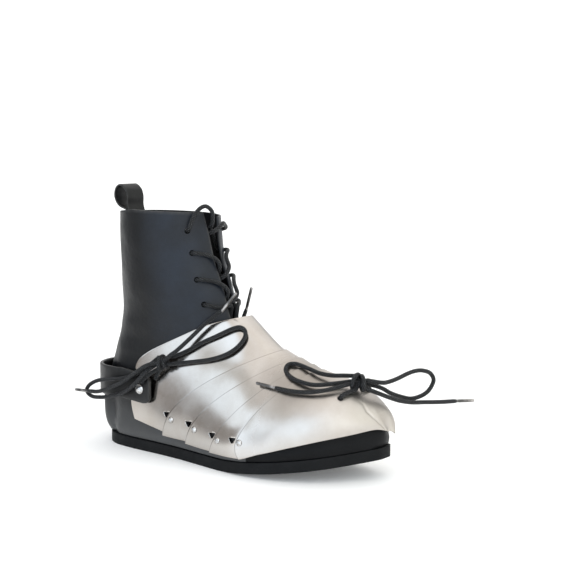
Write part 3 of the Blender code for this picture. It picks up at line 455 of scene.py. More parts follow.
def evenPoints(points, step):
    # points an even step (mm) apart along the smooth curve through the route
    ends = [points[0] * 2 - points[1], *points, points[-1] * 2 - points[-2]]
    parts = 12
    fine = [between(ends[i:i + 4], k / parts) for i in range(len(points) - 1) for k in range(parts)]
    fine.append(points[-1])
    lengths = [0.0]
    for a, b in zip(fine, fine[1:]):
        lengths.append(lengths[-1] + (b - a).length)
    count = max(2, round(lengths[-1] / (step * mm)))
    found, k = [], 0
    for i in range(count + 1):
        wanted = lengths[-1] * i / count
        while k < len(fine) - 2 and lengths[k + 1] < wanted:
            k += 1
        share = (wanted - lengths[k]) / max(lengths[k + 1] - lengths[k], 1e-9)
        found.append(fine[k].lerp(fine[k + 1], min(1.0, share)))
    return found


# cord isn't quite even: how much its radius varies, and how finely
tubeLumps = {"height": 0.025, "scale": 260}


def addTube(shape, points, radii, sides, closed=False):
    # a round tube along the points, with a UV in millimetres; radii is one size in mm, or one for each point
    uv = shape.loops.layers.uv.verify()
    count = len(points)
    rings, lengths, across, travelled = [], [], None, 0.0
    for i, point in enumerate(points):
        before = points[i - 1] if i or closed else point
        after = points[(i + 1) % count] if i + 1 < count or closed else point
        along = (after - before).normalized()
        across = along.orthogonal().normalized() if across is None else across
        across = (across - along * across.dot(along)).normalized()
        other = along.cross(across)
        size = radii[i] if isinstance(radii, list) else radii
        size *= mm * (1 + tubeLumps["height"] * noise.noise(point * tubeLumps["scale"]))
        travelled += (point - points[i - 1]).length / mm if i else 0.0
        lengths.append(travelled)
        rings.append([shape.verts.new(point + across * x + other * y) for x, y in circle(size, sides)])
    for i in range(count if closed else count - 1):
        j = (i + 1) % count
        far = lengths[j] if j else lengths[-1] + (points[0] - points[-1]).length / mm
        for k in range(sides):
            m = (k + 1) % sides
            face = shape.faces.new((rings[i][k], rings[i][m], rings[j][m], rings[j][k]))
            face.smooth = True
            spots = ((lengths[i], k), (lengths[i], k + 1), (far, k + 1), (far, k))
            for loop, (u, v) in zip(face.loops, spots):
                loop[uv].uv = (u, cordGirth * v / sides)
    if not closed:
        shape.faces.new(rings[0][::-1]).smooth = True
        shape.faces.new(rings[-1]).smooth = True


def addSkin(shape, rings, capped=True):
    # faces from each ring of vertices to the next, and over both ends
    count = len(rings[0])
    for a, b in zip(rings, rings[1:]):
        for k in range(count):
            m = (k + 1) % count
            shape.faces.new((a[k], a[m], b[m], b[k])).smooth = True
    if capped:
        shape.faces.new(rings[0][::-1])
        shape.faces.new(rings[-1])
    bmesh.ops.recalc_face_normals(shape, faces=shape.faces)


def meshFrom(shape, name):
    data = bpy.data.meshes.new(name)
    shape.normal_update()
    shape.to_mesh(data)
    shape.free()
    return data


def addPiece(node, suffix, shape, finish):
    # each piece stands for one node of the CAD
    piece = bpy.data.objects.new(f"{node}_{suffix}", meshFrom(shape, node))
    piece.data.materials.append(finish)
    bpy.context.scene.collection.objects.link(piece)
    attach(piece, "root")
    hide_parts(node)
    return piece


def softenEdges(piece, width, segments, angle):
    soft = piece.modifiers.new("soft edges", "BEVEL")
    soft.width = width * mm
    soft.segments = segments
    soft.limit_method = "ANGLE"
    soft.angle_limit = math.radians(angle)


def thicken(piece, thickness):
    wall = piece.modifiers.new("wall", "SOLIDIFY")
    wall.thickness = thickness * mm
    wall.offset = -1
    return wall


holeReach = 9


def cutHoles(piece, holes):
    # short prisms cut through: a point, the way out, and an outline of (right, up) points in mm
    shape = bmesh.new()
    for point, out, outline in holes:
        right = Vector((0, 0, 1)).cross(out).normalized()
        up = out.cross(right)
        addSkin(shape, [
            [shape.verts.new(point + (out * depth + right * x + up * y) * mm) for x, y in outline]
            for depth in (-holeReach, holeReach)
        ])
    cut = piece.modifiers.new("holes", "BOOLEAN")
    cut.solver = "EXACT"
    cut.object = bpy.data.objects.new(piece.name + "_cutter", meshFrom(shape, "cutter"))
    bpy.context.scene.collection.objects.link(cut.object)


def settle(piece, angle=40):
    # applies the piece's modifiers, removes its cutter, then keeps only its real edges sharp
    graph = bpy.context.evaluated_depsgraph_get()
    graph.update()
    data = bpy.data.meshes.new_from_object(piece.evaluated_get(graph))
    for cutter in [step.object for step in piece.modifiers if step.type == "BOOLEAN"]:
        bpy.data.objects.remove(cutter)
    piece.modifiers.clear()
    piece.data = data
    data.shade_smooth()
    data.set_sharp_from_angle(angle=math.radians(angle))


def paintEdges(data, reach, near):
    # writes how close each vertex is to a cut edge into "edge"; near gives that distance in mm
    wear = data.attributes.new("edge", "FLOAT", "POINT")
    for vertex in data.vertices:
        wear.data[vertex.index].value = max(0.0, 1 - near(vertex.co) / reach)


def waveOut(shape, amount):
    # leather is never quite even: broad swells, and smaller ones on them
    shape.normal_update()
    swells = ((24, 1.0), (70, 0.4))
    for vert, normal, point in [(vert, vert.normal.copy(), vert.co.copy()) for vert in shape.verts]:
        swell = sum(height * noise.noise(point * scale) for scale, height in swells)
        vert.co = point + normal * swell * amount * mm


# the boot's own forms, needed by the laces and the bows as well as by the leather and the steel

soleRows = (
    (0, 6, 6), (3, 14.5, 14.5), (12, 25, 25), (28, 32, 32), (50, 35, 34),
    (80, 37, 32), (110, 40, 30), (140, 45, 32), (170, 50, 38), (195, 53, 44),
    (215, 52, 47), (240, 46, 47), (265, 33, 43), (285, 13, 36), (295, 0, 29),
    (300, -6, 23),
)
soleSettings = {
    "length": 300,
    "thickness": 10,
    "toeSpring": 19,
    "springStart": 165,
    "springCurve": 1.35,
    "edgeRound": 0.9,
    "toeRound": 4,
    "stationStep": 3,
    "moreStations": (1, 2, 4, 7.5, 10.5, 292, 296, 297.5, 298.5, 299.3, 299.8),
    "sideRows": (3.3, 6.7),
}

# ring, back, backUp, front, frontUp, ground, half, swell, backRound, frontRound
upperRows = (
    (0, -1, 0.9, 297.5, 0.4, 1, 36, -1.5, 32, 4),
    (1, -5, 8, 298.5, 6, 1, 36, -0.5, 35, 4.5),
    (2, -8, 22, 298.5, 12, 1, 36, -1.5, 37, 6),
    (3, -8.3, 36, 296.5, 18, 0.92, 34, -1.5, 38, 14),
    (4, -6.3, 48, 287, 25.5, 0.8, 33.5, -1, 39, 40),
    (5, -2.5, 58, 268, 34, 0.6, 31, -1, 40, 60),
    (6, 0.5, 68, 244, 44.5, 0.4, 29, 0, 41, 70),
    (7, 3.5, 78, 218, 56, 0.2, 29, 0, 42, 78),
    (8, 6.5, 88, 193, 69, 0.1, 30, 0, 45, 85),
    (9, 9.5, 98, 169, 84, 0, 30, 0, 48, 90),
    (10, 11.5, 109, 151, 102, 0, 31.5, 0, 53, 86),
    (11, 13.5, 124, 143, 123, 0, 34, 0, 64, 64.5),
    (12, 14.5, 144, 135.5, 146, 0, 37.5, 0, 60, 60),
    (13, 15.5, 169, 125.5, 170, 0, 39.5, 0, 55, 55),
    (14, 16.5, 192, 121, 190, 0, 42, 0, 52, 52),
    (15, 17.5, 213, 118.5, 210, 0, 43, 0, 50.5, 50.5),
)
openingRows = ((9, 4.5, 8.5), (13, 3.5, 9), (14, 4.5, 9.5), (15, 10, 12.5))
upperSettings = {
    "throatRing": 9,
    "rimRing": 15,
    "heelHalf": 38.0,
    "heelReach": 60.0,
    "sideSteps": 18,
    "seamStep": 11,
    "quarterSteps": 16,
    # how many grid rows to a ring, and grid columns to a side step
    "ringRows": 8,
    "quarterColumns": 4,
    "vampColumns": 8,
    "outerUp": 5.2,
    "outerUpShare": 0.4,
    "thickness": 2.0,
    "cutEdge": 0.35,
    "waviness": 0.45,
    "vampWaviness": 0.3,
    "seamGap": 0.02,
    "throatGap": 0.5,
    "vampTuck": 0.003,
    # how far the wear reaches from a cut edge in mm; those edges lie above this Z or within this X, in metres
    "wear": {"reach": 2.4, "above": 0.15, "beside": 0.02},
}
rowCache = {}


def cachedRow(rows, x):
    key = (id(rows), round(x, 6))
    if key not in rowCache:
        rowCache[key] = smooth(rows, x)
    return rowCache[key]


def springUp(forward):
    start = soleSettings["springStart"]
    share = max(0.0, forward - start) / (soleSettings["length"] - start)
    return soleSettings["toeSpring"] * share ** soleSettings["springCurve"]


def rimRise(ring):
    # the rise of the rim's outer side, over the last ring alone
    t = max(0.0, ring - upperSettings["rimRing"] + 1)
    return upperSettings["outerUp"] * t * t * (2 - t)


def upperPoint(ring, share, side):
    back, backUp, front, frontUp, ground, half, swell, backRound, frontRound = cachedRow(upperRows, ring)
    length = front - back
    forward = back + length * share
    outer, inner = cachedRow(soleRows, round(min(max(forward, 0.0), soleSettings["length"]), 2))
    heel = upperSettings["heelHalf"] * (1 - max(0.0, forward) / upperSettings["heelReach"])
    wide = ground * max((outer + inner) / 2, heel) + (1 - ground) * half + swell
    centre = ground * (outer - inner) / 2
    for near, reach in ((length * share, backRound), (length * (1 - share), frontRound)):
        if near < reach:
            wide *= math.sqrt(max(0.0, 1 - (1 - near / reach) ** 2))
    up = soleSettings["thickness"] + springUp(forward) + backUp + (frontUp - backUp) * share
    if side > 0:
        up += rimRise(ring) * min(1.0, share / upperSettings["outerUpShare"])
    return at(forward, centre + side * wide, up)


def ringShare(step):
    return (1 - math.cos(math.pi * step / upperSettings["sideSteps"])) / 2


def openingShare(ring, halfOpening, side):
    # halves the way from the side's widest point to the front until the opening's half width is met
    low, high = 0.6, 1.0
    for _ in range(24):
        middle = (low + high) / 2
        wide = -side * upperPoint(ring, middle, side).x / mm
        low, high = (middle, high) if wide > halfOpening else (low, middle)
    return low


def leatherPoint(ring, across, lift=0.0):
    rim = upperSettings["rimRing"]

    def face(number, distance):
        side = 1 if distance >= 0 else -1
        return upperPoint(number, openingShare(number, abs(distance), side), side)
    ring = min(ring, rim)
    point = face(ring, across)
    sideStep, ringStep = 0.6, 0.1
    along = face(ring, across + sideStep) - face(ring, across - sideStep)
    upward = face(min(ring + ringStep, rim), across) - face(ring - ringStep, across)
    return point + upward.cross(along).normalized() * lift * mm


# line, foot, footUp, outer, inner, crest, crestUp, crestOut, sweep, full
steelRows = (
    (0, 53.5, 32, 42, 41, 160, 132, 0, 3.6, 0.6),
    (1, 98, 25, 46, 43, 200, 104, 0, 1.75, 0.85),
    (2, 128, 20.5, 48.5, 44, 217, 98.5, 0, 1.65, 0.9),
    (3, 159, 17, 52, 46, 229, 94, -1, 1.45, 0.95),
    (4, 189, 16, 55.5, 50, 239, 90, -2, 1.7, 0.95),
    (5, 218, 24, 55.5, 51, 256, 86.5, -4, 1.5, 0.95),
    (6, 247, 33, 50, 49, 270, 82, -7, 1.35, 0.95),
    (7, 271, 40, 39, 44, 282, 75, -10, 1.2, 0.95),
    (8, 289, 44.5, 23, 36, 293, 66, -12.5, 1, 0.95),
    (9, 300, 47, 4, 28, 301, 57, -14, 1, 1),
    (10, 305, 44, -11, 19, 306, 47, -15, 1, 1),
)


# the instep plate's top edge stands straight at its rear corner, then runs forward
shoulder = {"depth": 5, "start": 0.42, "end": 0.92, "lines": 0.35}
# the lines where the toe plate starts and where it ends
toeLine = 4
frontLine = 10


def steelSurface(line, turn):
    foot, footUp, outer, inner, crest, crestUp, crestOut, sweep, full = cachedRow(steelRows, line)
    rise = max(0.0, math.sin(turn))
    across = max(0.0, abs(math.cos(turn))) ** full
    reach = outer - crestOut if turn < math.pi / 2 else -inner - crestOut
    forward = foot + (crest - foot) * rise ** sweep
    bend = min(1.0, max(0.0, (rise - shoulder["start"]) / (shoulder["end"] - shoulder["start"])))
    forward -= shoulder["depth"] * math.sin(2 * math.pi * bend) * max(0.0, 1 - line / shoulder["lines"])
    return at(forward, crestOut + reach * across, footUp + (crestUp - footUp) * rise)


def steelPoint(line, turn, lift=0.0):
    point = steelSurface(line, turn)
    if not lift:
        return point
    lineStep, turnStep = 0.05, 0.04
    along = steelSurface(min(line + lineStep, frontLine), turn) - steelSurface(max(line - lineStep, 0), turn)
    around = steelSurface(line, min(turn + turnStep, math.pi)) - steelSurface(line, max(turn - turnStep, 0))
    return point + along.cross(around).normalized() * lift * mm


def steelPlace(row, mirrored=False):
    line, turn, lift = row
    turn = math.pi - turn if mirrored else turn
    point = steelPoint(line, turn)
    out = (steelPoint(line, turn, 1.0) - point).normalized()
    return point + out * lift * mm, out


# cords: three bows, each a knot, two loops, two tails with metal tips, and the run through the holes it ties

cordSettings = {
    "step": 1.0,
    "sides": 18,
    "knotClear": 7.5,
    "innerShift": 1.0,
    # a tail draws in to enter its tip: share of the radius left, over how many steps, and how sharply
    "drawIn": (0.68, 4, 0.6),
}
sideBow = {
    "knot": (97, 43.6, 88.5),
    # each wrap round the knot: shift ahead, lean, width, height
    "wraps": ((-1.9, 1.1, 6, 4.9), (2.3, -0.8, 4.2, 3.9)),
    # the line, turn and lift of the steel that the knot faces away from
    "facing": (0.62, 0.62, 0),
    # the frame's letters for the cords that leave the knot ahead and behind
    "letters": {"Ahead": "a", "Behind": "b"},
    "loopAhead": (
        (101, 41.5, 93.5), (105.5, 40, 95), (111.5, 37.8, 97), (121, 34.8, 101.8), (133.5, 31.2, 109.2),
        (144.5, 27.8, 114.6), (153.5, 24.2, 119.4), (160, 20.7, 122.8), (165.5, 17.6, 124.2),
        (170, 16.2, 121.8), (172.3, 18.3, 117), (171, 21.8, 111.5), (167, 25.6, 106),
        (160.5, 29.2, 101.2), (151.5, 32.2, 97.2), (140, 34.9, 94), (126, 37.6, 91.5), (113, 40.8, 89.3),
        (103.5, 43.8, 88),
    ),
    "loopBehind": (
        (91.5, 43.1, 92.3), (86, 47, 87.5), (77, 49.6, 80.5), (68, 50.2, 75.8), (54, 51, 70.5),
        (37.5, 51, 67.6), (20.5, 50, 64.6), (7.5, 49, 59), (2.6, 49, 52.6), (9, 49.5, 48.1),
        (20.8, 50.5, 48.3), (37.2, 51, 51.4), (54.2, 51.6, 57.2), (68.5, 53.8, 65.8), (80.5, 55, 76),
        (86, 53, 81.5), (90.6, 46.5, 86.7),
    ),
    "tailAhead": (
        (102, 46.5, 92), (106.5, 45, 96.5), (111.5, 42.5, 100.5), (118.5, 38.6, 107.7),
        (126.8, 34.8, 116.4), (135.2, 31, 125.4), (143.8, 27.5, 132.8), (151.4, 24.8, 138.8),
    ),
    "tipAhead": (165.6, 22.6, 155.6),
    "tailBehind": (
        (93.5, 49.6, 89), (85.5, 55, 86), (75.5, 57, 79.5), (57.5, 55.4, 68.5), (40.5, 55.2, 60.8),
        (23.5, 54, 54.8), (8, 53.2, 53.3),
    ),
    "tipBehind": (-9.5, 52, 52.4),
    "tieSteel": (
        (0.41, 0.54, 5.6), (0.395, 0.51, 3.4), (0.39, 0.5, 1), (0.39, 0.5, -1.5), (0.375, 0.49, -3.8),
    ),
    "tieStrap": (
        (80, 36.3, 69.2), (76.6, 37.4, 69), (76, 41.5, 69), (76, 46.5, 69), (76.3, 50.3, 69.6),
        (79.5, 50.9, 72.6), (85, 49.4, 77.4), (92.5, 45.9, 82.6),
    ),
}
innerBow = {
    **sideBow,
    "loopAhead": (
        (101, -40.5, 93.5), (110, -38.5, 93), (125, -36, 95), (145, -32, 100.5), (158, -28.3, 105),
        (165, -26, 106), (168, -27, 101.5), (163.5, -30.3, 95.5), (150, -34.2, 90.5), (130, -37.2, 87.5),
        (115, -39.5, 87.2), (103.5, -42.8, 88),
    ),
    "tailAhead": (
        (101, -46.8, 92.5), (106.5, -45.5, 98), (113, -43, 106), (119.5, -40.5, 115), (125, -38.8, 124.5),
        (128.5, -38.5, 132),
    ),
    "tipAhead": (133.5, -40, 152.5),
}
toeBow = {
    "knot": (281.5, -1, 84.8),
    "wraps": ((-3.6, 1.2, 6.6, 6.2), (2.4, -3.2, 6.2, 5.6)),
    "facing": (6.75, 1.4, 0),
    "letters": {"Ahead": "b", "Behind": "a"},
    "loopBehind": (
        (276.5, -2, 89.3), (268.2, 5, 90.2), (259.4, 8.4, 89.8), (248.1, 10.2, 90.6), (238, 9.3, 92.6),
        (229.1, 10.6, 95.2), (223.2, 12.5, 96.6), (218.9, 16.5, 96), (219.7, 21.6, 92),
        (225.7, 24.4, 88.2), (234.8, 25.6, 85.2), (249.3, 25.6, 83.4), (258.5, 21.6, 83.6),
        (265.8, 14.6, 84.4), (274, 2.5, 85.3),
    ),
    "tailBehind": (
        (276.5, 6.5, 84.2), (272.5, 14.6, 82.8), (267, 21.6, 80.8), (261, 27.2, 79.4),
        (253.6, 31.4, 78.2), (244.7, 33.8, 77.6), (233.9, 35.2, 77.6), (224.3, 35.8, 78.2),
        (218.7, 36.2, 78.8),
    ),
    "tipBehind": (199, 36.6, 80.6),
    "loopAhead": (
        (290.5, -3.5, 87.8), (296.5, -12, 84.7), (298.7, -19, 84.4), (302.1, -28, 86.2),
        (306.4, -39, 89.7), (309.6, -47, 91.2), (312.5, -54, 90.7), (315.5, -61, 87.8), (317.4, -64, 82),
        (316.6, -62, 76.3), (314.5, -58, 71.3), (310.4, -53, 67.8), (305.5, -46, 66.4),
        (301.2, -38, 68.5), (297.5, -26, 73.3), (294.2, -15, 79.5), (288.5, -8, 82.8),
    ),
    "tailAhead": (
        (289.5, 2, 79.8), (294.7, -7, 76.7), (298.5, -18, 71.8), (302.8, -29, 67.3), (308, -42, 64),
        (313.7, -56, 62.5), (320.7, -70, 61.2), (329.3, -85, 60.7),
    ),
    "tipAhead": (337.6, -101, 59.5),
    "tieSteel": (
        (6.74, 1.34, 4.6), (6.64, 1.18, 3.6), (6.57, 1.085, 2.4), (6.56, 1.07, 0), (6.56, 1.07, -2.6),
        (6.6, 1.14, -5), (6.75, 1.38, -5.6), (6.89, 1.62, -5), (6.93, 1.7, -2.6), (6.93, 1.7, 0.6),
        (6.91, 1.68, 3.4), (6.88, 1.63, 5.4),
    ),
    "tieStrap": (),
}
tipSettings = {
    "radius": 1.5,
    "endRadius": 1.4,
    "gap": -1.2,
    "sides": 20,
    # shares of the length and of the radius: pinched where it grips the cord, rounded at its end
    "profile": (
        (0, 0.84), (0.004, 0.98), (0.03, 1), (0.06, 0.9), (0.09, 0.97), (0.12, 0.9), (0.15, 0.97),
        (0.19, 1), (0.3, 1), (0.45, 1), (0.6, 1), (0.75, 1), (0.9, 1), (0.96, 0.97), (0.98, 0.88),
        (0.992, 0.7), (1, 0.4),
    ),
}
# in mm: how far out a knot's strands start, how far past its middle they run, and their step
knotSettings = {"lead": 0.9, "depths": (3.4, -0.6), "step": 0.7, "swell": 1.02, "wrapSteps": 48}


def sidePlace(row, sign):
    # a place at the boot's outer (1) or inner (-1) side, and the way out from it
    forward, outward, up = row
    return at(forward, sign * outward, up), Vector((-sign, 0, 0))


def cordPlace(row, mirrored=False):
    forward, outward, up = row
    return at(forward, cordSettings["innerShift"] - outward if mirrored else outward, up)


def knotEnds(points, centre, ends):
    # sets a cord's ends at the knot's outside
    moved = list(points)
    for end in ends:
        moved[end] = centre + (moved[end] - centre).normalized() * cordSettings["knotClear"] * mm
    return moved


def addCord(node, points, tapered=False):
    radius, last = cordSize / 2, len(points) - 1
    radii = radius
    if tapered:
        least, length, curve = cordSettings["drawIn"]
        sizes = [least + (1 - least) * ((last - i) / length) ** curve for i in range(last + 1)]
        radii = [radius * min(1.0, size) for size in sizes]
    shape = bmesh.new()
    addTube(shape, points, radii, cordSettings["sides"])
    return addPiece(node, "braid", shape, waxedCord)


def makeTip(node, last, far):
    # a rolled metal sleeve
    start = last + (far - last).normalized() * tipSettings["gap"] * mm
    first, final, profile = (tipSettings[key] for key in ("radius", "endRadius", "profile"))
    points = [start + (far - start) * share for share, _ in profile]
    radii = [(first + (final - first) * share) * size for share, size in profile]
    shape = bmesh.new()
    addTube(shape, points, radii, tipSettings["sides"])
    return addPiece(node, "sleeve", shape, tipMetal)


def knotStrands(centre, ahead, out, spokes, wraps):
    # the strands that pass through the knot, and the wraps that hold them
    shape = bmesh.new()
    radius, sides = cordSize / 2, cordSettings["sides"]
    side = out.cross(ahead).normalized()
    for end, nextPoint in spokes:
        reach = (end - centre).normalized()
        lead = end + (nextPoint - end).normalized() * knotSettings["lead"] * mm
        deeper = [centre + reach * depth * mm for depth in knotSettings["depths"]]
        points = evenPoints([lead, end, *deeper], knotSettings["step"])
        addTube(shape, points, radius * knotSettings["swell"], sides)
    for shift, lean, wide, high in wraps:
        ring = [
            centre + (ahead * (shift + lean * x) + side * wide * x + out * high * y) * mm
            for x, y in circle(1, knotSettings["wrapSteps"])
        ]
        addTube(shape, ring, radius, sides, closed=True)
    return shape


def makeBow(name, bow, mirrored=False):
    # a mirrored bow keeps its own cords ahead of the knot, and mirrors the rest
    centre = cordPlace(bow["knot"], mirrored)
    routes = {}
    for kind in ("loop", "tail"):
        for way in ("Ahead", "Behind"):
            points = [cordPlace(row, mirrored and way == "Behind") for row in bow[kind + way]]
            routes[kind, way] = knotEnds(points, centre, (0, -1) if kind == "loop" else (0,))
    tie = [steelPlace(row, mirrored)[0] for row in bow["tieSteel"]]
    tie += [cordPlace(row, mirrored) for row in bow["tieStrap"]]
    tie = knotEnds(tie, centre, (0, -1))
    spokes = []
    for (kind, _), points in (*routes.items(), (("tie", ""), tie)):
        spokes.append((points[0], points[1]))
        if kind != "tail":
            spokes.append((points[-1], points[-2]))
    ahead = sum((routes["loop", "Ahead"][end] - routes["loop", "Behind"][end] for end in (0, -1)), Vector())
    ahead.normalize()
    out = steelPlace(bow["facing"], mirrored)[1]
    out = (out - ahead * out.dot(ahead)).normalized()
    strands = knotStrands(centre, ahead, out, spokes, bow["wraps"])
    knot = addPiece(name + "_knot", "wraps", strands, waxedCord)
    for (kind, way), points in routes.items():
        letter = bow["letters"][way]
        fine = evenPoints(points, cordSettings["step"])
        cord = addCord(f"{name}_{kind}_{letter}", fine, kind == "tail")
        along = [knot] if (kind, way) == ("loop", "Ahead") else []
        if kind == "tail":
            far = cordPlace(bow["tip" + way], mirrored and way == "Behind")
            along = [makeTip(f"{name}_tip_{letter}", points[-1], far)]
    addCord(name + "_tie", evenPoints(tie, cordSettings["step"]))


makeBow("outer_bow", sideBow)
makeBow("inner_bow", innerBow, mirrored=True)
makeBow("toe_bow", toeBow)
print("bows tied")

laceSettings = {
    "holes": ((14.35, 24.5), (13.4, 22.5), (12.35, 23), (11.4, 21.5)),
    "footRing": 10.5,
    "crossing": 3.9,
    "crossingReach": 0.8,
    "holeRadius": 2.7,
}
# down towards the next hole's ring, gap across the opening, lift off the leather, raised
laceRuns = {
    "start": ((0, 2, -5.4, 0), (0, 2, -1, 0)),
    "outer": (
        (0.02, 1.87, 3.6, 0), (0.12, 1.45, 3.1, 0), (0.3, 1.1, 3.3, 0), (0.5, 0.87, 3.6, 0),
        (0.63, 0.74, 2.4, 0), (0.72, 0.64, 0, 0), (0.78, 0.48, -2.9, 0), (0.83, 0, -4.9, 0),
        (0.87, -0.6, -5.6, 0), (0.9, -1.15, -5.9, 0), (0.95, -1.7, -5.9, 0),
    ),
    "inner": (
        (0.02, 1.87, 3.5, 0), (0.16, 1.45, 2.8, 0), (0.33, 1.18, 3.1, 0), (0.5, 1, 4.5, 0),
        (0.68, 0.78, 5.2, 0), (0.82, 0.4, 4.2, 0), (0.92, -0.1, 2.4, 0), (0.98, -0.48, -0.6, 0),
        (1, -0.66, -3.4, 0), (1, -0.8, -5.9, 0), (1, -1.25, -6.4, 0), (0.98, -1.7, -5.9, 0),
    ),
    "topSlack": (
        (0, 1.95, 3, 3), (0, 1.82, 4.5, 12), (0, 1.6, 5.5, 19.5), (0, 1.32, 6, 22), (0, 1, 5.5, 17),
        (0, 0.8, 4.2, 9), (0, 0.68, 1.8, 4.5), (0, 0.5, -1.6, 3), (0, 0.1, -4.4, 2.5),
        (0.06, -0.5, -5.5, 1.5), (0.3, -1.15, -5.8, 0), (0.93, -1.7, -5.9, 0),
    ),
    "topEdge": (
        (0, 1.87, 3.6, 1.5), (0, 1.4, 3.2, 5.5), (0, 1.02, 4.2, 6.5), (0, 0.6, 4.6, 5),
        (0.02, 0.1, 3.4, 2.5), (0.06, -0.4, 1.2, 0), (0.1, -0.62, -1.8, 0), (0.13, -0.74, -4.2, 0),
        (0.16, -0.84, -6.2, 0), (0.3, -1.2, -6.2, 0), (0.93, -1.7, -5.9, 0),
    ),
    "foot": (
        (0.03, 1.87, 3.6, 0), (0.08, 1.5, 2.9, -1.5), (0.1, 1.1, 3.1, -0.5), (0.16, 0.62, 2.7, 0.5),
        (0.5, 0.36, -1, 0), (0.9, 0.38, -4.5, 0),
    ),
}


def lacePoint(row, start, end, side, crossing):
    down, gap, lift, raised = row
    ring = start[0] + (end[0] - start[0]) * down
    outer, inner = smooth(openingRows, ring)
    own, other = (outer, inner) if side > 0 else (inner, outer)
    if gap > 1:
        across = own + (start[1] - own) * (gap - 1)
    elif gap < -1:
        across = -other + (end[1] - other) * (gap + 1)
    else:
        across = (own - other) / 2 + (own + other) / 2 * gap
    middle = max(0.0, 1 - abs(gap) / laceSettings["crossingReach"])
    point = leatherPoint(ring, side * across, lift + crossing * middle)
    point.z += raised * mm
    return point


def makeLace(name, firstSide, settings, runs):
    points, side, holes = [], firstSide, settings["holes"]
    foot = (settings["footRing"], holes[-1][1])
    for hole, below in zip(holes, (*holes[1:], foot)):
        run = "outer" if side > 0 else "inner"
        if hole is holes[0]:
            run = "topSlack" if side > 0 else "topEdge"
        elif below is foot:
            run = "foot"
        over = settings["crossing"] * firstSide if below is foot else 0.0
        points += [lacePoint(row, hole, below, side, over) for row in (*runs["start"], *runs[run])]
        side = -side
    addCord(name, evenPoints(points, cordSettings["step"]))


makeLace("lace_a", 1, laceSettings, laceRuns)
makeLace("lace_b", -1, laceSettings, laceRuns)
print("laces threaded")


def gridShape(rows):
    # faces between rows of points; a row may be shorter where the grid has no faces
    shape = bmesh.new()
    verts = [[shape.verts.new(point) for point in row] for row in rows]
    for low, high in zip(verts, verts[1:]):
        for j in range(min(len(low), len(high)) - 1):
            shape.faces.new((low[j], low[j + 1], high[j + 1], high[j])).smooth = True
    return shape


def lineWithFlesh(piece):
    # the grain side faces out and the darker flesh side in
    piece.data.materials.append(fleshLeather)
    thicken(piece, upperSettings["thickness"]).material_offset = 1
    softenEdges(piece, upperSettings["cutEdge"], segments=2, angle=50)


def makeQuarter(name, side):
    seam, last, throat = (upperSettings[key] for key in ("seamStep", "quarterSteps", "throatRing"))
    columns, perRing = upperSettings["quarterColumns"], upperSettings["ringRows"]
    start = math.pi * seam / upperSettings["sideSteps"]
    rows, edges = [], []
    for number in range(upperSettings["rimRing"] * perRing + 1):
        ring = number / perRing
        opened = ring >= throat
        if opened:
            outer, inner = smooth(openingRows, ring)
            end = math.acos(1 - 2 * openingShare(ring, outer if side > 0 else inner, side))
        row = []
        for j in range((last if opened else seam) * columns + 1):
            step = j / columns
            share = ringShare(step)
            if step > seam:
                turn = start + (end - start) * (step - seam) / (last - seam)
                share = (1 - math.cos(turn)) / 2
            point = upperPoint(ring, share, side)
            if j == 0:
                point.x = -side * upperSettings["seamGap"] * mm
            if ring == throat and step > seam:
                point.z += upperSettings["throatGap"] * mm
            row.append(point)
        rows.append(row)
        if opened:
            edges.append(row[-1])
    edges += rows[-1]
    shape = gridShape(rows)
    if side < 0:
        bmesh.ops.reverse_faces(shape, faces=shape.faces)
    waveOut(shape, upperSettings["waviness"])
    piece = addPiece(name, "leather", shape, bootLeather)
    lineWithFlesh(piece)
    holes = []
    for ring, across in laceSettings["holes"]:
        point = leatherPoint(ring, side * across)
        out = (leatherPoint(ring, side * across, 1.0) - point).normalized()
        holes.append((point, out, circle(laceSettings["holeRadius"])))
    cutHoles(piece, holes)
    settle(piece)
    wear = upperSettings["wear"]

    def near(point):
        # low at the side no cut edge is near
        if point.z < wear["above"] and abs(point.x) > wear["beside"]:
            return wear["reach"]
        return min((point - edge).length for edge in edges) / mm
    paintEdges(piece.data, wear["reach"], near)


def makeVamp():
    columns, perRing = upperSettings["vampColumns"], upperSettings["ringRows"]
    seam, total = upperSettings["seamStep"] * columns, upperSettings["sideSteps"] * columns
    shares = [ringShare(k / columns) for k in range(seam, total)]
    shares[0] += upperSettings["vampTuck"]
    rows = []
    for number in range(upperSettings["throatRing"] * perRing + 1):
        ring = number / perRing
        outer = [upperPoint(ring, share, 1) for share in (*shares, 1.0)]
        rows.append(outer + [upperPoint(ring, share, -1) for share in reversed(shares)])
    shape = gridShape(rows)
    waveOut(shape, upperSettings["vampWaviness"])
    piece = addPiece("vamp", "leather", shape, shadedVampLeather)
    lineWithFlesh(piece)
    settle(piece)


makeQuarter("quarter_outer", 1)
makeQuarter("quarter_inner", -1)
makeVamp()
print("leather upper made")


def makeSole(settings):
    shape = bmesh.new()
    rings, rounding = [], settings["toeRound"]
    stations = {*range(0, settings["length"] + 1, settings["stationStep"]), *settings["moreStations"]}
    for forward in sorted(stations):
        outer, inner = smooth(soleRows, forward)
        tuck = max(0.0, forward - settings["length"] + rounding) / rounding
        tuck = rounding * (1 - math.sqrt(1 - tuck ** 2))
        low = springUp(forward)
        heights = (low, *(low + row for row in settings["sideRows"]), low + settings["thickness"])
        corners = [(outer - tuck, up) for up in heights] + [(tuck - inner, up) for up in reversed(heights)]
        rings.append([shape.verts.new(at(forward, outward, up)) for outward, up in corners])
    addSkin(shape, rings)
    piece = addPiece("sole", "layer", shape, soleLeather)
    softenEdges(piece, settings["edgeRound"], segments=3, angle=40)
    settle(piece, angle=30)


makeSole(soleSettings)
print("sole made")


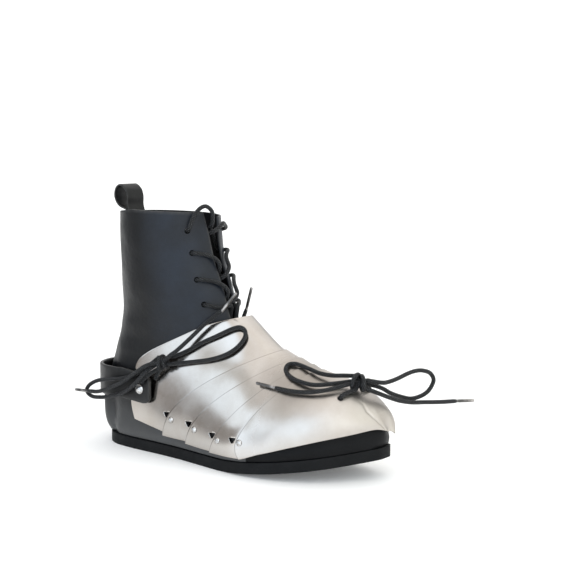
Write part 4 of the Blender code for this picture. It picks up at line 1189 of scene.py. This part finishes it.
def sweptShape(points, across, side, section):
    # a band along the points; section(k) is its closed outline at point k, as (out, across) sizes in mm
    shape, rings = bmesh.new(), []
    for k, point in enumerate(points):
        along = points[min(k + 1, len(points) - 1)] - points[max(k - 1, 0)]
        out = along.cross(across).normalized() * side
        rings.append([shape.verts.new(point + (out * x + across * y) * mm) for x, y in section(k)])
    addSkin(shape, rings)
    return shape


def bandSection(thickness, height, rounding, rows=10):
    # a flat band's outline with softened corners
    x, y, r = thickness / 2, height / 2, rounding
    cut = r * 0.3  # how far a corner's middle lies in from the square corner
    heights = [-(y - r) + (2 * (y - r)) * k / rows for k in range(rows + 1)]
    right = [(x, h) for h in heights]
    left = [(-x, h) for h in reversed(heights)]
    top = [(x - cut, y - cut), (x - r, y), (r - x, y), (cut - x, y - cut)]
    bottom = [(cut - x, cut - y), (r - x, -y), (x - r, -y), (x - cut, cut - y)]
    return right + top + left + bottom


strapSettings = {
    "thickness": 3.2,
    "rounding": 0.9,
    "waviness": 0.2,
    "wearReach": 1.3,
    "holeRadius": 2.3,
    "step": 2.0,
    "arcSteps": 64,
    # the arc round the heel: where it starts, its farthest point back, and the band's middle and height there
    "turn": 45,
    "back": -10.4,
    "backMiddle": 62,
    "backHeight": 28.5,
    # forward, outward, middle, height
    "ends": (
        (81.8, 46, 61.7, 17), (81.4, 46, 61.7, 19.6), (80.3, 46, 61.7, 22.5), (77.3, 45.8, 61.8, 26),
        (72.8, 45.5, 62, 27.5), (67, 45.2, 62.5, 27.8), (62, 45, 63, 28), (53, 44.4, 63.8, 28.3),
        (45, 44, 64.5, 28.5),
    ),
    "rivet": (69.7, 47.5, 61.4),
    "tieHole": (76, 45.6, 69),
}


def makeHeelStrap(settings):
    ends, half, arc = settings["ends"], [], []
    for a, b in zip(ends, ends[1:]):
        pieces = max(1, round((a[0] - b[0]) / settings["step"]))
        half += [[x + (y - x) * k / pieces for x, y in zip(a, b)] for k in range(pieces)]
    _, sideOut, sideMiddle, sideHeight = ends[-1]
    for k in range(settings["arcSteps"] + 1):
        angle = math.pi * k / settings["arcSteps"]
        share = math.sin(angle)
        arc.append([
            settings["turn"] - (settings["turn"] - settings["back"]) * share, sideOut * math.cos(angle),
            sideMiddle + (settings["backMiddle"] - sideMiddle) * share,
            sideHeight + (settings["backHeight"] - sideHeight) * share,
        ])
    path = half + arc + [[row[0], -row[1], *row[2:]] for row in reversed(half)]
    middles = [at(*row[:3]) for row in path]

    def section(k):
        return bandSection(settings["thickness"], path[k][3], settings["rounding"])
    shape = sweptShape(middles, Vector((0, 0, 1)), -1, section)
    waveOut(shape, settings["waviness"])
    piece = addPiece("heel_strap", "leather", shape, strapLeather)
    hole = circle(settings["holeRadius"])
    cutHoles(piece, [(*sidePlace(settings["tieHole"], sign), hole) for sign in (1, -1)])
    settle(piece, angle=50)

    def near(point):
        k = min(range(len(path)), key=lambda i: (middles[i].xy - point.xy).length)
        toEnd = abs(point.y - middles[0].y) / mm
        return min(path[k][3] / 2 - abs(point.z - middles[k].z) / mm, toEnd)
    paintEdges(piece.data, settings["wearReach"], near)


makeHeelStrap(strapSettings)
print("heel strap made")

loopSettings = {
    "halfWidth": 11.1,
    "middle": 0.9,
    "thickness": 2,
    "rounding": 0.6,
    "sectionRows": 14,
    "step": 1,
    "waviness": 0.25,
    "wearReach": 1,
    "rows": (
        (25.9, 197), (25.9, 212), (25.6, 221), (23.7, 229), (23.8, 236.5), (21.3, 243.3), (15, 247.6),
        (9.3, 245.2), (7, 238), (9.3, 231.6), (13.5, 227.6), (18.5, 225.8), (23.2, 223.4), (23.4, 217),
        (23.4, 197),
    ),
}


def makePullLoop(settings):
    route = [at(forward, settings["middle"], up) for forward, up in settings["rows"]]
    section = bandSection(
        settings["thickness"], 2 * settings["halfWidth"], settings["rounding"], settings["sectionRows"],
    )
    points = evenPoints(route, settings["step"])
    shape = sweptShape(points, Vector((1, 0, 0)), 1, lambda k: section)
    waveOut(shape, settings["waviness"])
    piece = addPiece("pull_loop", "leather", shape, strapLeather)
    settle(piece, angle=50)
    middle = -settings["middle"] * mm

    def near(point):
        return settings["halfWidth"] - abs(point.x - middle) / mm
    paintEdges(piece.data, settings["wearReach"], near)


makePullLoop(loopSettings)
print("pull loop made")

plateSettings = {
    "thickness": 1,
    "lift": 1.15,
    "sideLift": 0.35,
    "lap": 0.28,
    # the toe plate's lower rear corners kick out: height in mm, reach in turn and in lines
    "flare": {"height": 3.3, "turn": 0.85, "lines": 1.7},
    "around": 150,
    "edge": 0.16,
    "holeRadius": 2.6,
    # the rear corners' rounding and drop reach this far up (a sine) and the drop this many lines forward
    "corner": {"turn": 0.22, "lines": 0.9},
    # the toe plate's front droops towards its inner side from one line on, as (X, Y, Z) in mm, and its middle
    # is drawn back; from a later line on its middle also dips
    "front": {"line": 8.6, "droop": (0, -1.5, -3.5), "inner": 1.5, "back": 3.6, "dipLine": 9.4, "dip": 2.8},
    "standOff": 0.001,  # how far, in mm, every sheet lies outside the plain form
    "lapFade": 0.7,  # lines over which the toe plate settles down from the plate behind it
    # how strongly the painted contact shadow darkens a plate's rear edge
    "rearShadow": 0.75,
    "uvScale": (30, 60),
    "inside": (170, 0, 30),  # a point under the steel, to tell out from in
    # name, start line, end line, rounding of the rear corners, steps to a line, drop of the lower rear corner
    "plates": (
        ("instep_plate", 0, 1, 0.12, 40, 0),
        ("lame_1", 1, 2, 0, 26, 3.2),
        ("lame_2", 2, 3, 0, 26, 1.6),
        ("lame_3", 3, 4, 0, 26, 0.8),
        ("toe_plate", 4, 10, 0.25, 26, 0.4),
    ),
}
rivetSettings = {
    # sizes in mm; the shank goes in as far as its reach
    "plate": {"radius": 2.95, "dome": 1.7, "reach": 3},
    "strap": {"radius": 4.7, "dome": 2.2, "reach": 10},
    "sides": 36,
    "domeSteps": 9,
    # the rim, the shank and the small head, as shares of the radius; the rim with its heights in mm
    "rim": ((0.99, 0.22), (1, 0.08), (0.97, 0)),
    "shank": 0.42,
    "head": 0.7,
    "headHeight": 0.6,
    "seat": 0.03,
    # line, turn, notch line, notch turn
    "rows": (
        (1.17, 0.17, 0.94, 0.2), (2.18, 0.17, 1.86, 0.2), (3.17, 0.15, 2.85, 0.18),
        (4.13, 0.195, 3.77, 0.2),
    ),
    "notch": ((-4.1, 2.2), (3.3, 2.7), (3.5, 1.5), (1.2, -2.2), (-0.4, -2.6), (-1.9, -1.4)),
}
# line, turn and lift of the holes that the bows' ties pass through
sideTieHole = (0.39, 0.5, 0)
toeTieHoles = ((6.56, 1.07, 0), (6.93, 1.7, 0))
foldSettings = {
    "firstLine": 6.5,
    "fadeIn": (0.4, 1.5),  # over this share of a fold's length, to this power
    # folds of the toe plate: (line, turn) route, then half width and height in mm at the fold's two ends
    "folds": (
        (
            ((7.06, 1.24), (7.62, 1.20), (8.11, 1.04), (8.56, 0.90), (9.22, 0.68), (9.73, 0.34)),
            (1.7, 1.1), (-0.85, -0.55),
        ),
        (((7.42, 1.44), (7.99, 1.33), (8.60, 1.13), (9.20, 0.93), (9.75, 0.70)), (3, 2.2), (0.1, 0.3)),
        (((8, 2.35), (9, 2.15), (9.6, 2.05), (10, 2)), (4, 3.2), (0.1, 0.6)),
    ),
}


def foldLift(line, turn):
    if line < foldSettings["firstLine"]:
        return 0.0
    here = steelSurface(line, turn)
    lift = 0.0
    for route, (wide, narrow), (first, last) in foldSettings["folds"]:
        best, share = math.inf, 0.0
        for i, (a, b) in enumerate(zip(route, route[1:])):
            p, q = steelSurface(*a), steelSurface(*b)
            t = max(0.0, min(1.0, (here - p).dot(q - p) / (q - p).length_squared))
            distance = (here - p.lerp(q, t)).length / mm
            if distance < best:
                best, share = distance, (i + t) / (len(route) - 1)
        length, curve = foldSettings["fadeIn"]
        fade = min(1.0, share / length) ** curve
        width = wide + (narrow - wide) * share
        lift += (first + (last - first) * share) * fade * math.exp(-(best / width) ** 2)
    return lift


def rearLift(line, start, end, turn):
    # a lame's rear lies on the plate behind, more openly at its sides
    height = plateSettings["lift"] + plateSettings["sideLift"] * math.cos(turn) ** 2
    return height * (1 - (line - start) / (end - start))


def toeLift(line, turn):
    # the toe plate's rear lies on the plate behind, and its lower corners flare
    flare, past = plateSettings["flare"], line - toeLine
    low = max(0.0, 1 - min(turn, math.pi - turn) / flare["turn"])
    flared = flare["height"] * (low * max(0.0, 1 - past / flare["lines"])) ** 2
    return flared + plateSettings["lift"] * math.exp(-past / plateSettings["lapFade"])


def frontMove(line, turn):
    front = plateSettings["front"]
    near, tip = (
        max(0.0, line - first) / (frontLine - first) for first in (front["line"], front["dipLine"])
    )
    droop = Vector(front["droop"]) * near * (turn / math.pi) ** front["inner"]
    rise = math.sin(turn)
    return (droop + Vector((0, front["back"] * near * rise ** 2, -front["dip"] * tip * rise))) * mm


def makePlate(name, start, end, rounding, perLine, drop):
    around, corner = plateSettings["around"], plateSettings["corner"]
    far = end + (plateSettings["lap"] if end < frontLine else 0)
    count = round((far - start) * perLine)
    shape = bmesh.new()
    uv = shape.loops.layers.uv.verify()
    rearEdgeShadow = shape.verts.layers.float.new("edge")
    rows, spots = [], []
    for i in range(count + 1):
        row, spot = [], []
        for j in range(around + 1):
            turn = math.pi * j / around
            low = max(0.0, 1 - math.sin(turn) / corner["turn"])
            first = start + rounding * low * low
            line = first + (far - first) * i / count
            lift = 0.0
            if name == "toe_plate":
                lift = toeLift(line, turn) + foldLift(line, turn)
            elif start > 0:
                lift = rearLift(line, start, end, turn)
            point = steelPoint(line, turn, lift + plateSettings["standOff"]) + frontMove(line, turn)
            point.z -= drop * mm * low * max(0.0, 1 - (line - start) / corner["lines"])
            row.append(shape.verts.new(point))
            # the first row of a plate that lies on another carries the painted contact shadow
            row[-1][rearEdgeShadow] = plateSettings["rearShadow"] if i == 0 and start > 0 else 0.0
            spot.append([value * scale for value, scale in zip((line, turn), plateSettings["uvScale"])])
        rows.append(row)
        spots.append(spot)
    for i in range(count):
        for j in range(around):
            corners = ((i, j), (i, j + 1), (i + 1, j + 1), (i + 1, j))
            face = shape.faces.new([rows[a][b] for a, b in corners])
            face.smooth = True
            for loop, (a, b) in zip(face.loops, corners):
                loop[uv].uv = spots[a][b]
    bmesh.ops.recalc_face_normals(shape, faces=shape.faces)
    shape.normal_update()
    inside = at(*plateSettings["inside"])
    outward = sum(face.normal.dot(face.calc_center_median() - inside) for face in shape.faces)
    if outward < 0:
        bmesh.ops.reverse_faces(shape, faces=shape.faces)
    piece = addPiece(name, "sheet", shape, satinSteel)
    thicken(piece, plateSettings["thickness"])
    return piece


def makeSabaton():
    plates = {row[0]: makePlate(*row) for row in plateSettings["plates"]}
    holes = {name: [] for name in plates}
    tieHole = circle(plateSettings["holeRadius"])
    for sign in (1, -1):
        mirrored = sign < 0
        notch = [(sign * x, y) for x, y in rivetSettings["notch"]][::sign]
        for name, (_, _, line, turn) in zip(plates, rivetSettings["rows"]):
            holes[name].append((*steelPlace((line, turn, 0), mirrored), notch))
        for place in (steelPlace(sideTieHole, mirrored), sidePlace(strapSettings["tieHole"], sign)):
            holes["instep_plate"].append((*place, tieHole))
    holes["toe_plate"] = [(*steelPlace(row), tieHole) for row in toeTieHoles]
    for name, piece in plates.items():
        cutHoles(piece, holes[name])
        softenEdges(piece, plateSettings["edge"], segments=2, angle=60)
        settle(piece, angle=42)


makeSabaton()
print("plates formed")


def rivetProfile(radius, dome, reach):
    # a dome with a thin rim, then the shank and the small head inside, as (radius, height) in mm
    steps, shank, head = (rivetSettings[key] for key in ("domeSteps", "shank", "head"))
    bend = (radius ** 2 + dome ** 2) / (2 * dome)
    outward = [radius * k / steps for k in range(steps)]
    profile = [(x, math.sqrt(bend ** 2 - x ** 2) - bend + dome) for x in outward]
    profile += [(radius * share, height) for share, height in rivetSettings["rim"]]
    profile += [(radius * shank, 0), (radius * shank, -reach), (radius * head, -reach)]
    return [*profile, (radius * head, -reach - rivetSettings["headHeight"])]


def addRivet(node, seat, out, size):
    turn = out.to_track_quat("Z", "Y").to_matrix()
    shape = bmesh.new()
    (_, height), *profile = rivetProfile(**size)
    top = shape.verts.new(seat + turn @ Vector((0, 0, height)) * mm)
    rings = []
    for radius, up in profile:
        spots = [Vector((x, y, up)) for x, y in circle(radius, rivetSettings["sides"])]
        rings.append([shape.verts.new(seat + turn @ spot * mm) for spot in spots])
    for a, b in zip(rings[0], rings[0][1:] + rings[0][:1]):
        shape.faces.new((top, a, b)).smooth = True
    shape.faces.new(rings[-1][::-1])
    addSkin(shape, rings, capped=False)
    piece = addPiece(node, "dome", shape, rivetSteel)
    piece.data.set_sharp_from_angle(angle=math.radians(50))


def makeRivets(settings):
    for side, sign in (("outer", 1), ("inner", -1)):
        for number, (line, turn, _, _) in enumerate(settings["rows"], 1):
            first = math.floor(line)
            lift = toeLift(line, turn) if first == toeLine else rearLift(line, first, first + 1, turn)
            seat, out = steelPlace((line, turn, lift + settings["seat"]), sign < 0)
            addRivet(f"rivet_{side}_{number}", seat, out, settings["plate"])
        addRivet(f"strap_rivet_{side}", *sidePlace(strapSettings["rivet"], sign), settings["strap"])


makeRivets(rivetSettings)
print("rivets set")

studioSettings = {
    "floor": (0.96, 0.96, 0.96),
    "floorShade": (0.94, 0.94, 0.94),
    "floorGlow": 0.10,
    "floorHalf": 14,
    "floorDull": 0.85,
    "paper": 0.5,
    # degrees round from the boot's inner side, and metres away, between which the floor is painted darker, a
    # painted shade
    "paintedFloorShadow": {"sides": (93, 139), "soft": 5, "reach": (0.22, 0.85), "tone": (0.30, 0.30, 0.31)},
    # a pool of soft light on the floor beside the toe: middle, full and clear radius, brightness
    "pool": {"at": (-0.40, -0.03, 0.0), "full": 0.10, "clear": 0.34, "bright": (0.42, 0.56, 0.72)},
    # height of the direction (sine), brightness there
    "sky": ((0.0, (1.15, 1.15, 1.15)), (0.15, (1.15, 1.15, 1.15)), (0.5, (1.12, 1.11, 1.09)),
            (0.68, (1.28, 1.26, 1.24)), (0.9, (1.40, 1.38, 1.36)), (1.0, (1.46, 1.44, 1.40))),
    # each soft panel: degrees round from behind the camera (right is +), degrees up, softness, brightness
    "panels": (
        ("left_window", (-106, -67), (12, 29), 2.5, (1.56, 1.76, 1.96)),
        ("above_window", (-106, -60), (30, 37), 2.5, (0.80, 0.79, 0.76)),
        ("dim_wall", (-112, -73.5), (-25, 12), 2.0, (0.46, 0.44, 0.43)),
        ("low_window", (-73, -60), (-20, 14), 2.0, (1.56, 1.78, 2.02)),
        ("window_bar", (-67, -60), (14, 30), 2.0, (0.66, 0.66, 0.62)),
        ("front_window", (-60, -17), (-20, 36), 3.0, (1.64, 1.86, 2.10)),
        ("far_left", (-160, -107), (-25, 45), 4.0, (0.22, 0.23, 0.25)),
        ("front_left", (-17, 0), (-20, 56), 5.0, (1.66, 1.76, 1.86)),
        ("front_right", (0, 42), (-20, 50), 4.0, (2.02, 2.10, 2.12)),
        ("right", (42, 101), (3, 60), 4.0, (1.50, 1.52, 1.42)),
        ("far_right", (106, 134), (3, 45), 4.0, (0.92, 0.94, 0.93)),
        ("dim_right", (134, 163), (-8, 30), 3.0, (0.80, 0.82, 0.84)),
    ),
}


def windowMask(value, low, high, soft):
    # 1 while the value lies between low and high, with soft ends; all in degrees
    edges = (
        spread(value, 0.0, 1.0, math.radians(edge - soft), math.radians(edge + soft), "SMOOTHSTEP")
        for edge in (low, high)
    )
    return mathNode("SUBTRACT", *edges)


def makeSky(settings):
    world = bpy.data.worlds.new("studio")
    bpy.context.scene.world = world
    world.use_nodes = True
    tree = world.node_tree
    place = addNode(tree, "ShaderNodeTexCoord").outputs["Generated"]
    turned = addNode(tree, "ShaderNodeVectorRotate", Vector=place, rotation_type="Z_AXIS")
    turned.inputs["Angle"].default_value = -math.radians(cameraSettings["yaw"] + 180)
    way = axesOf(turned.outputs["Vector"])
    around = mathNode("ARCTAN2", way["Y"], way["X"])
    upward = mathNode("ARCSINE", way["Z"])
    colour = colourOver(way["Z"], settings["sky"])
    for _, sides, heights, soft, bright in settings["panels"]:
        mask = mathNode("MULTIPLY", windowMask(around, *sides, soft), windowMask(upward, *heights, soft))
        colour = mixColour(mask, colour, bright)
    feed(tree.nodes["Background"].inputs["Color"], colour)


def makeFloor(settings):
    shape = bmesh.new()
    bmesh.ops.create_grid(shape, x_segments=8, y_segments=8, size=settings["floorHalf"])
    floor = bpy.data.objects.new("studio_floor", meshFrom(shape, "studio_floor"))
    paint, dull = settings["floor"], settings["floorDull"]
    made, shader, place = newFinish("floor_paper", paint, dull, Emission_Strength=1)
    paper = noiseOver(place, settings["paper"], 2.0)
    tint = colourOver(paper, ((0.3, settings["floorShade"]), (0.7, paint)))
    # the floor is painted darker off to the left, a painted shade, mostly out of the camera's sight
    shadow, pool, glow = settings["paintedFloorShadow"], settings["pool"], settings["floorGlow"]
    way = axesOf(place)
    side = windowMask(mathNode("ARCTAN2", way["Y"], way["X"]), *shadow["sides"], shadow["soft"])
    far = spread(distanceFrom(place, (0, 0, 0)), 0.0, 1.0, *shadow["reach"])
    feed(shader.inputs["Base Color"], mixColour(mathNode("MULTIPLY", far, side), tint, shadow["tone"]))
    lit = spread(distanceFrom(place, pool["at"]), 1.0, 0.0, pool["full"], pool["clear"])
    feed(shader.inputs["Emission Color"], mixColour(lit, (glow, glow, glow), pool["bright"]))
    floor.data.materials.append(made)
    bpy.context.scene.collection.objects.link(floor)


makeSky(studioSettings)
makeFloor(studioSettings)
bpy.context.scene.view_settings.view_transform = "Standard"
print("studio lit")
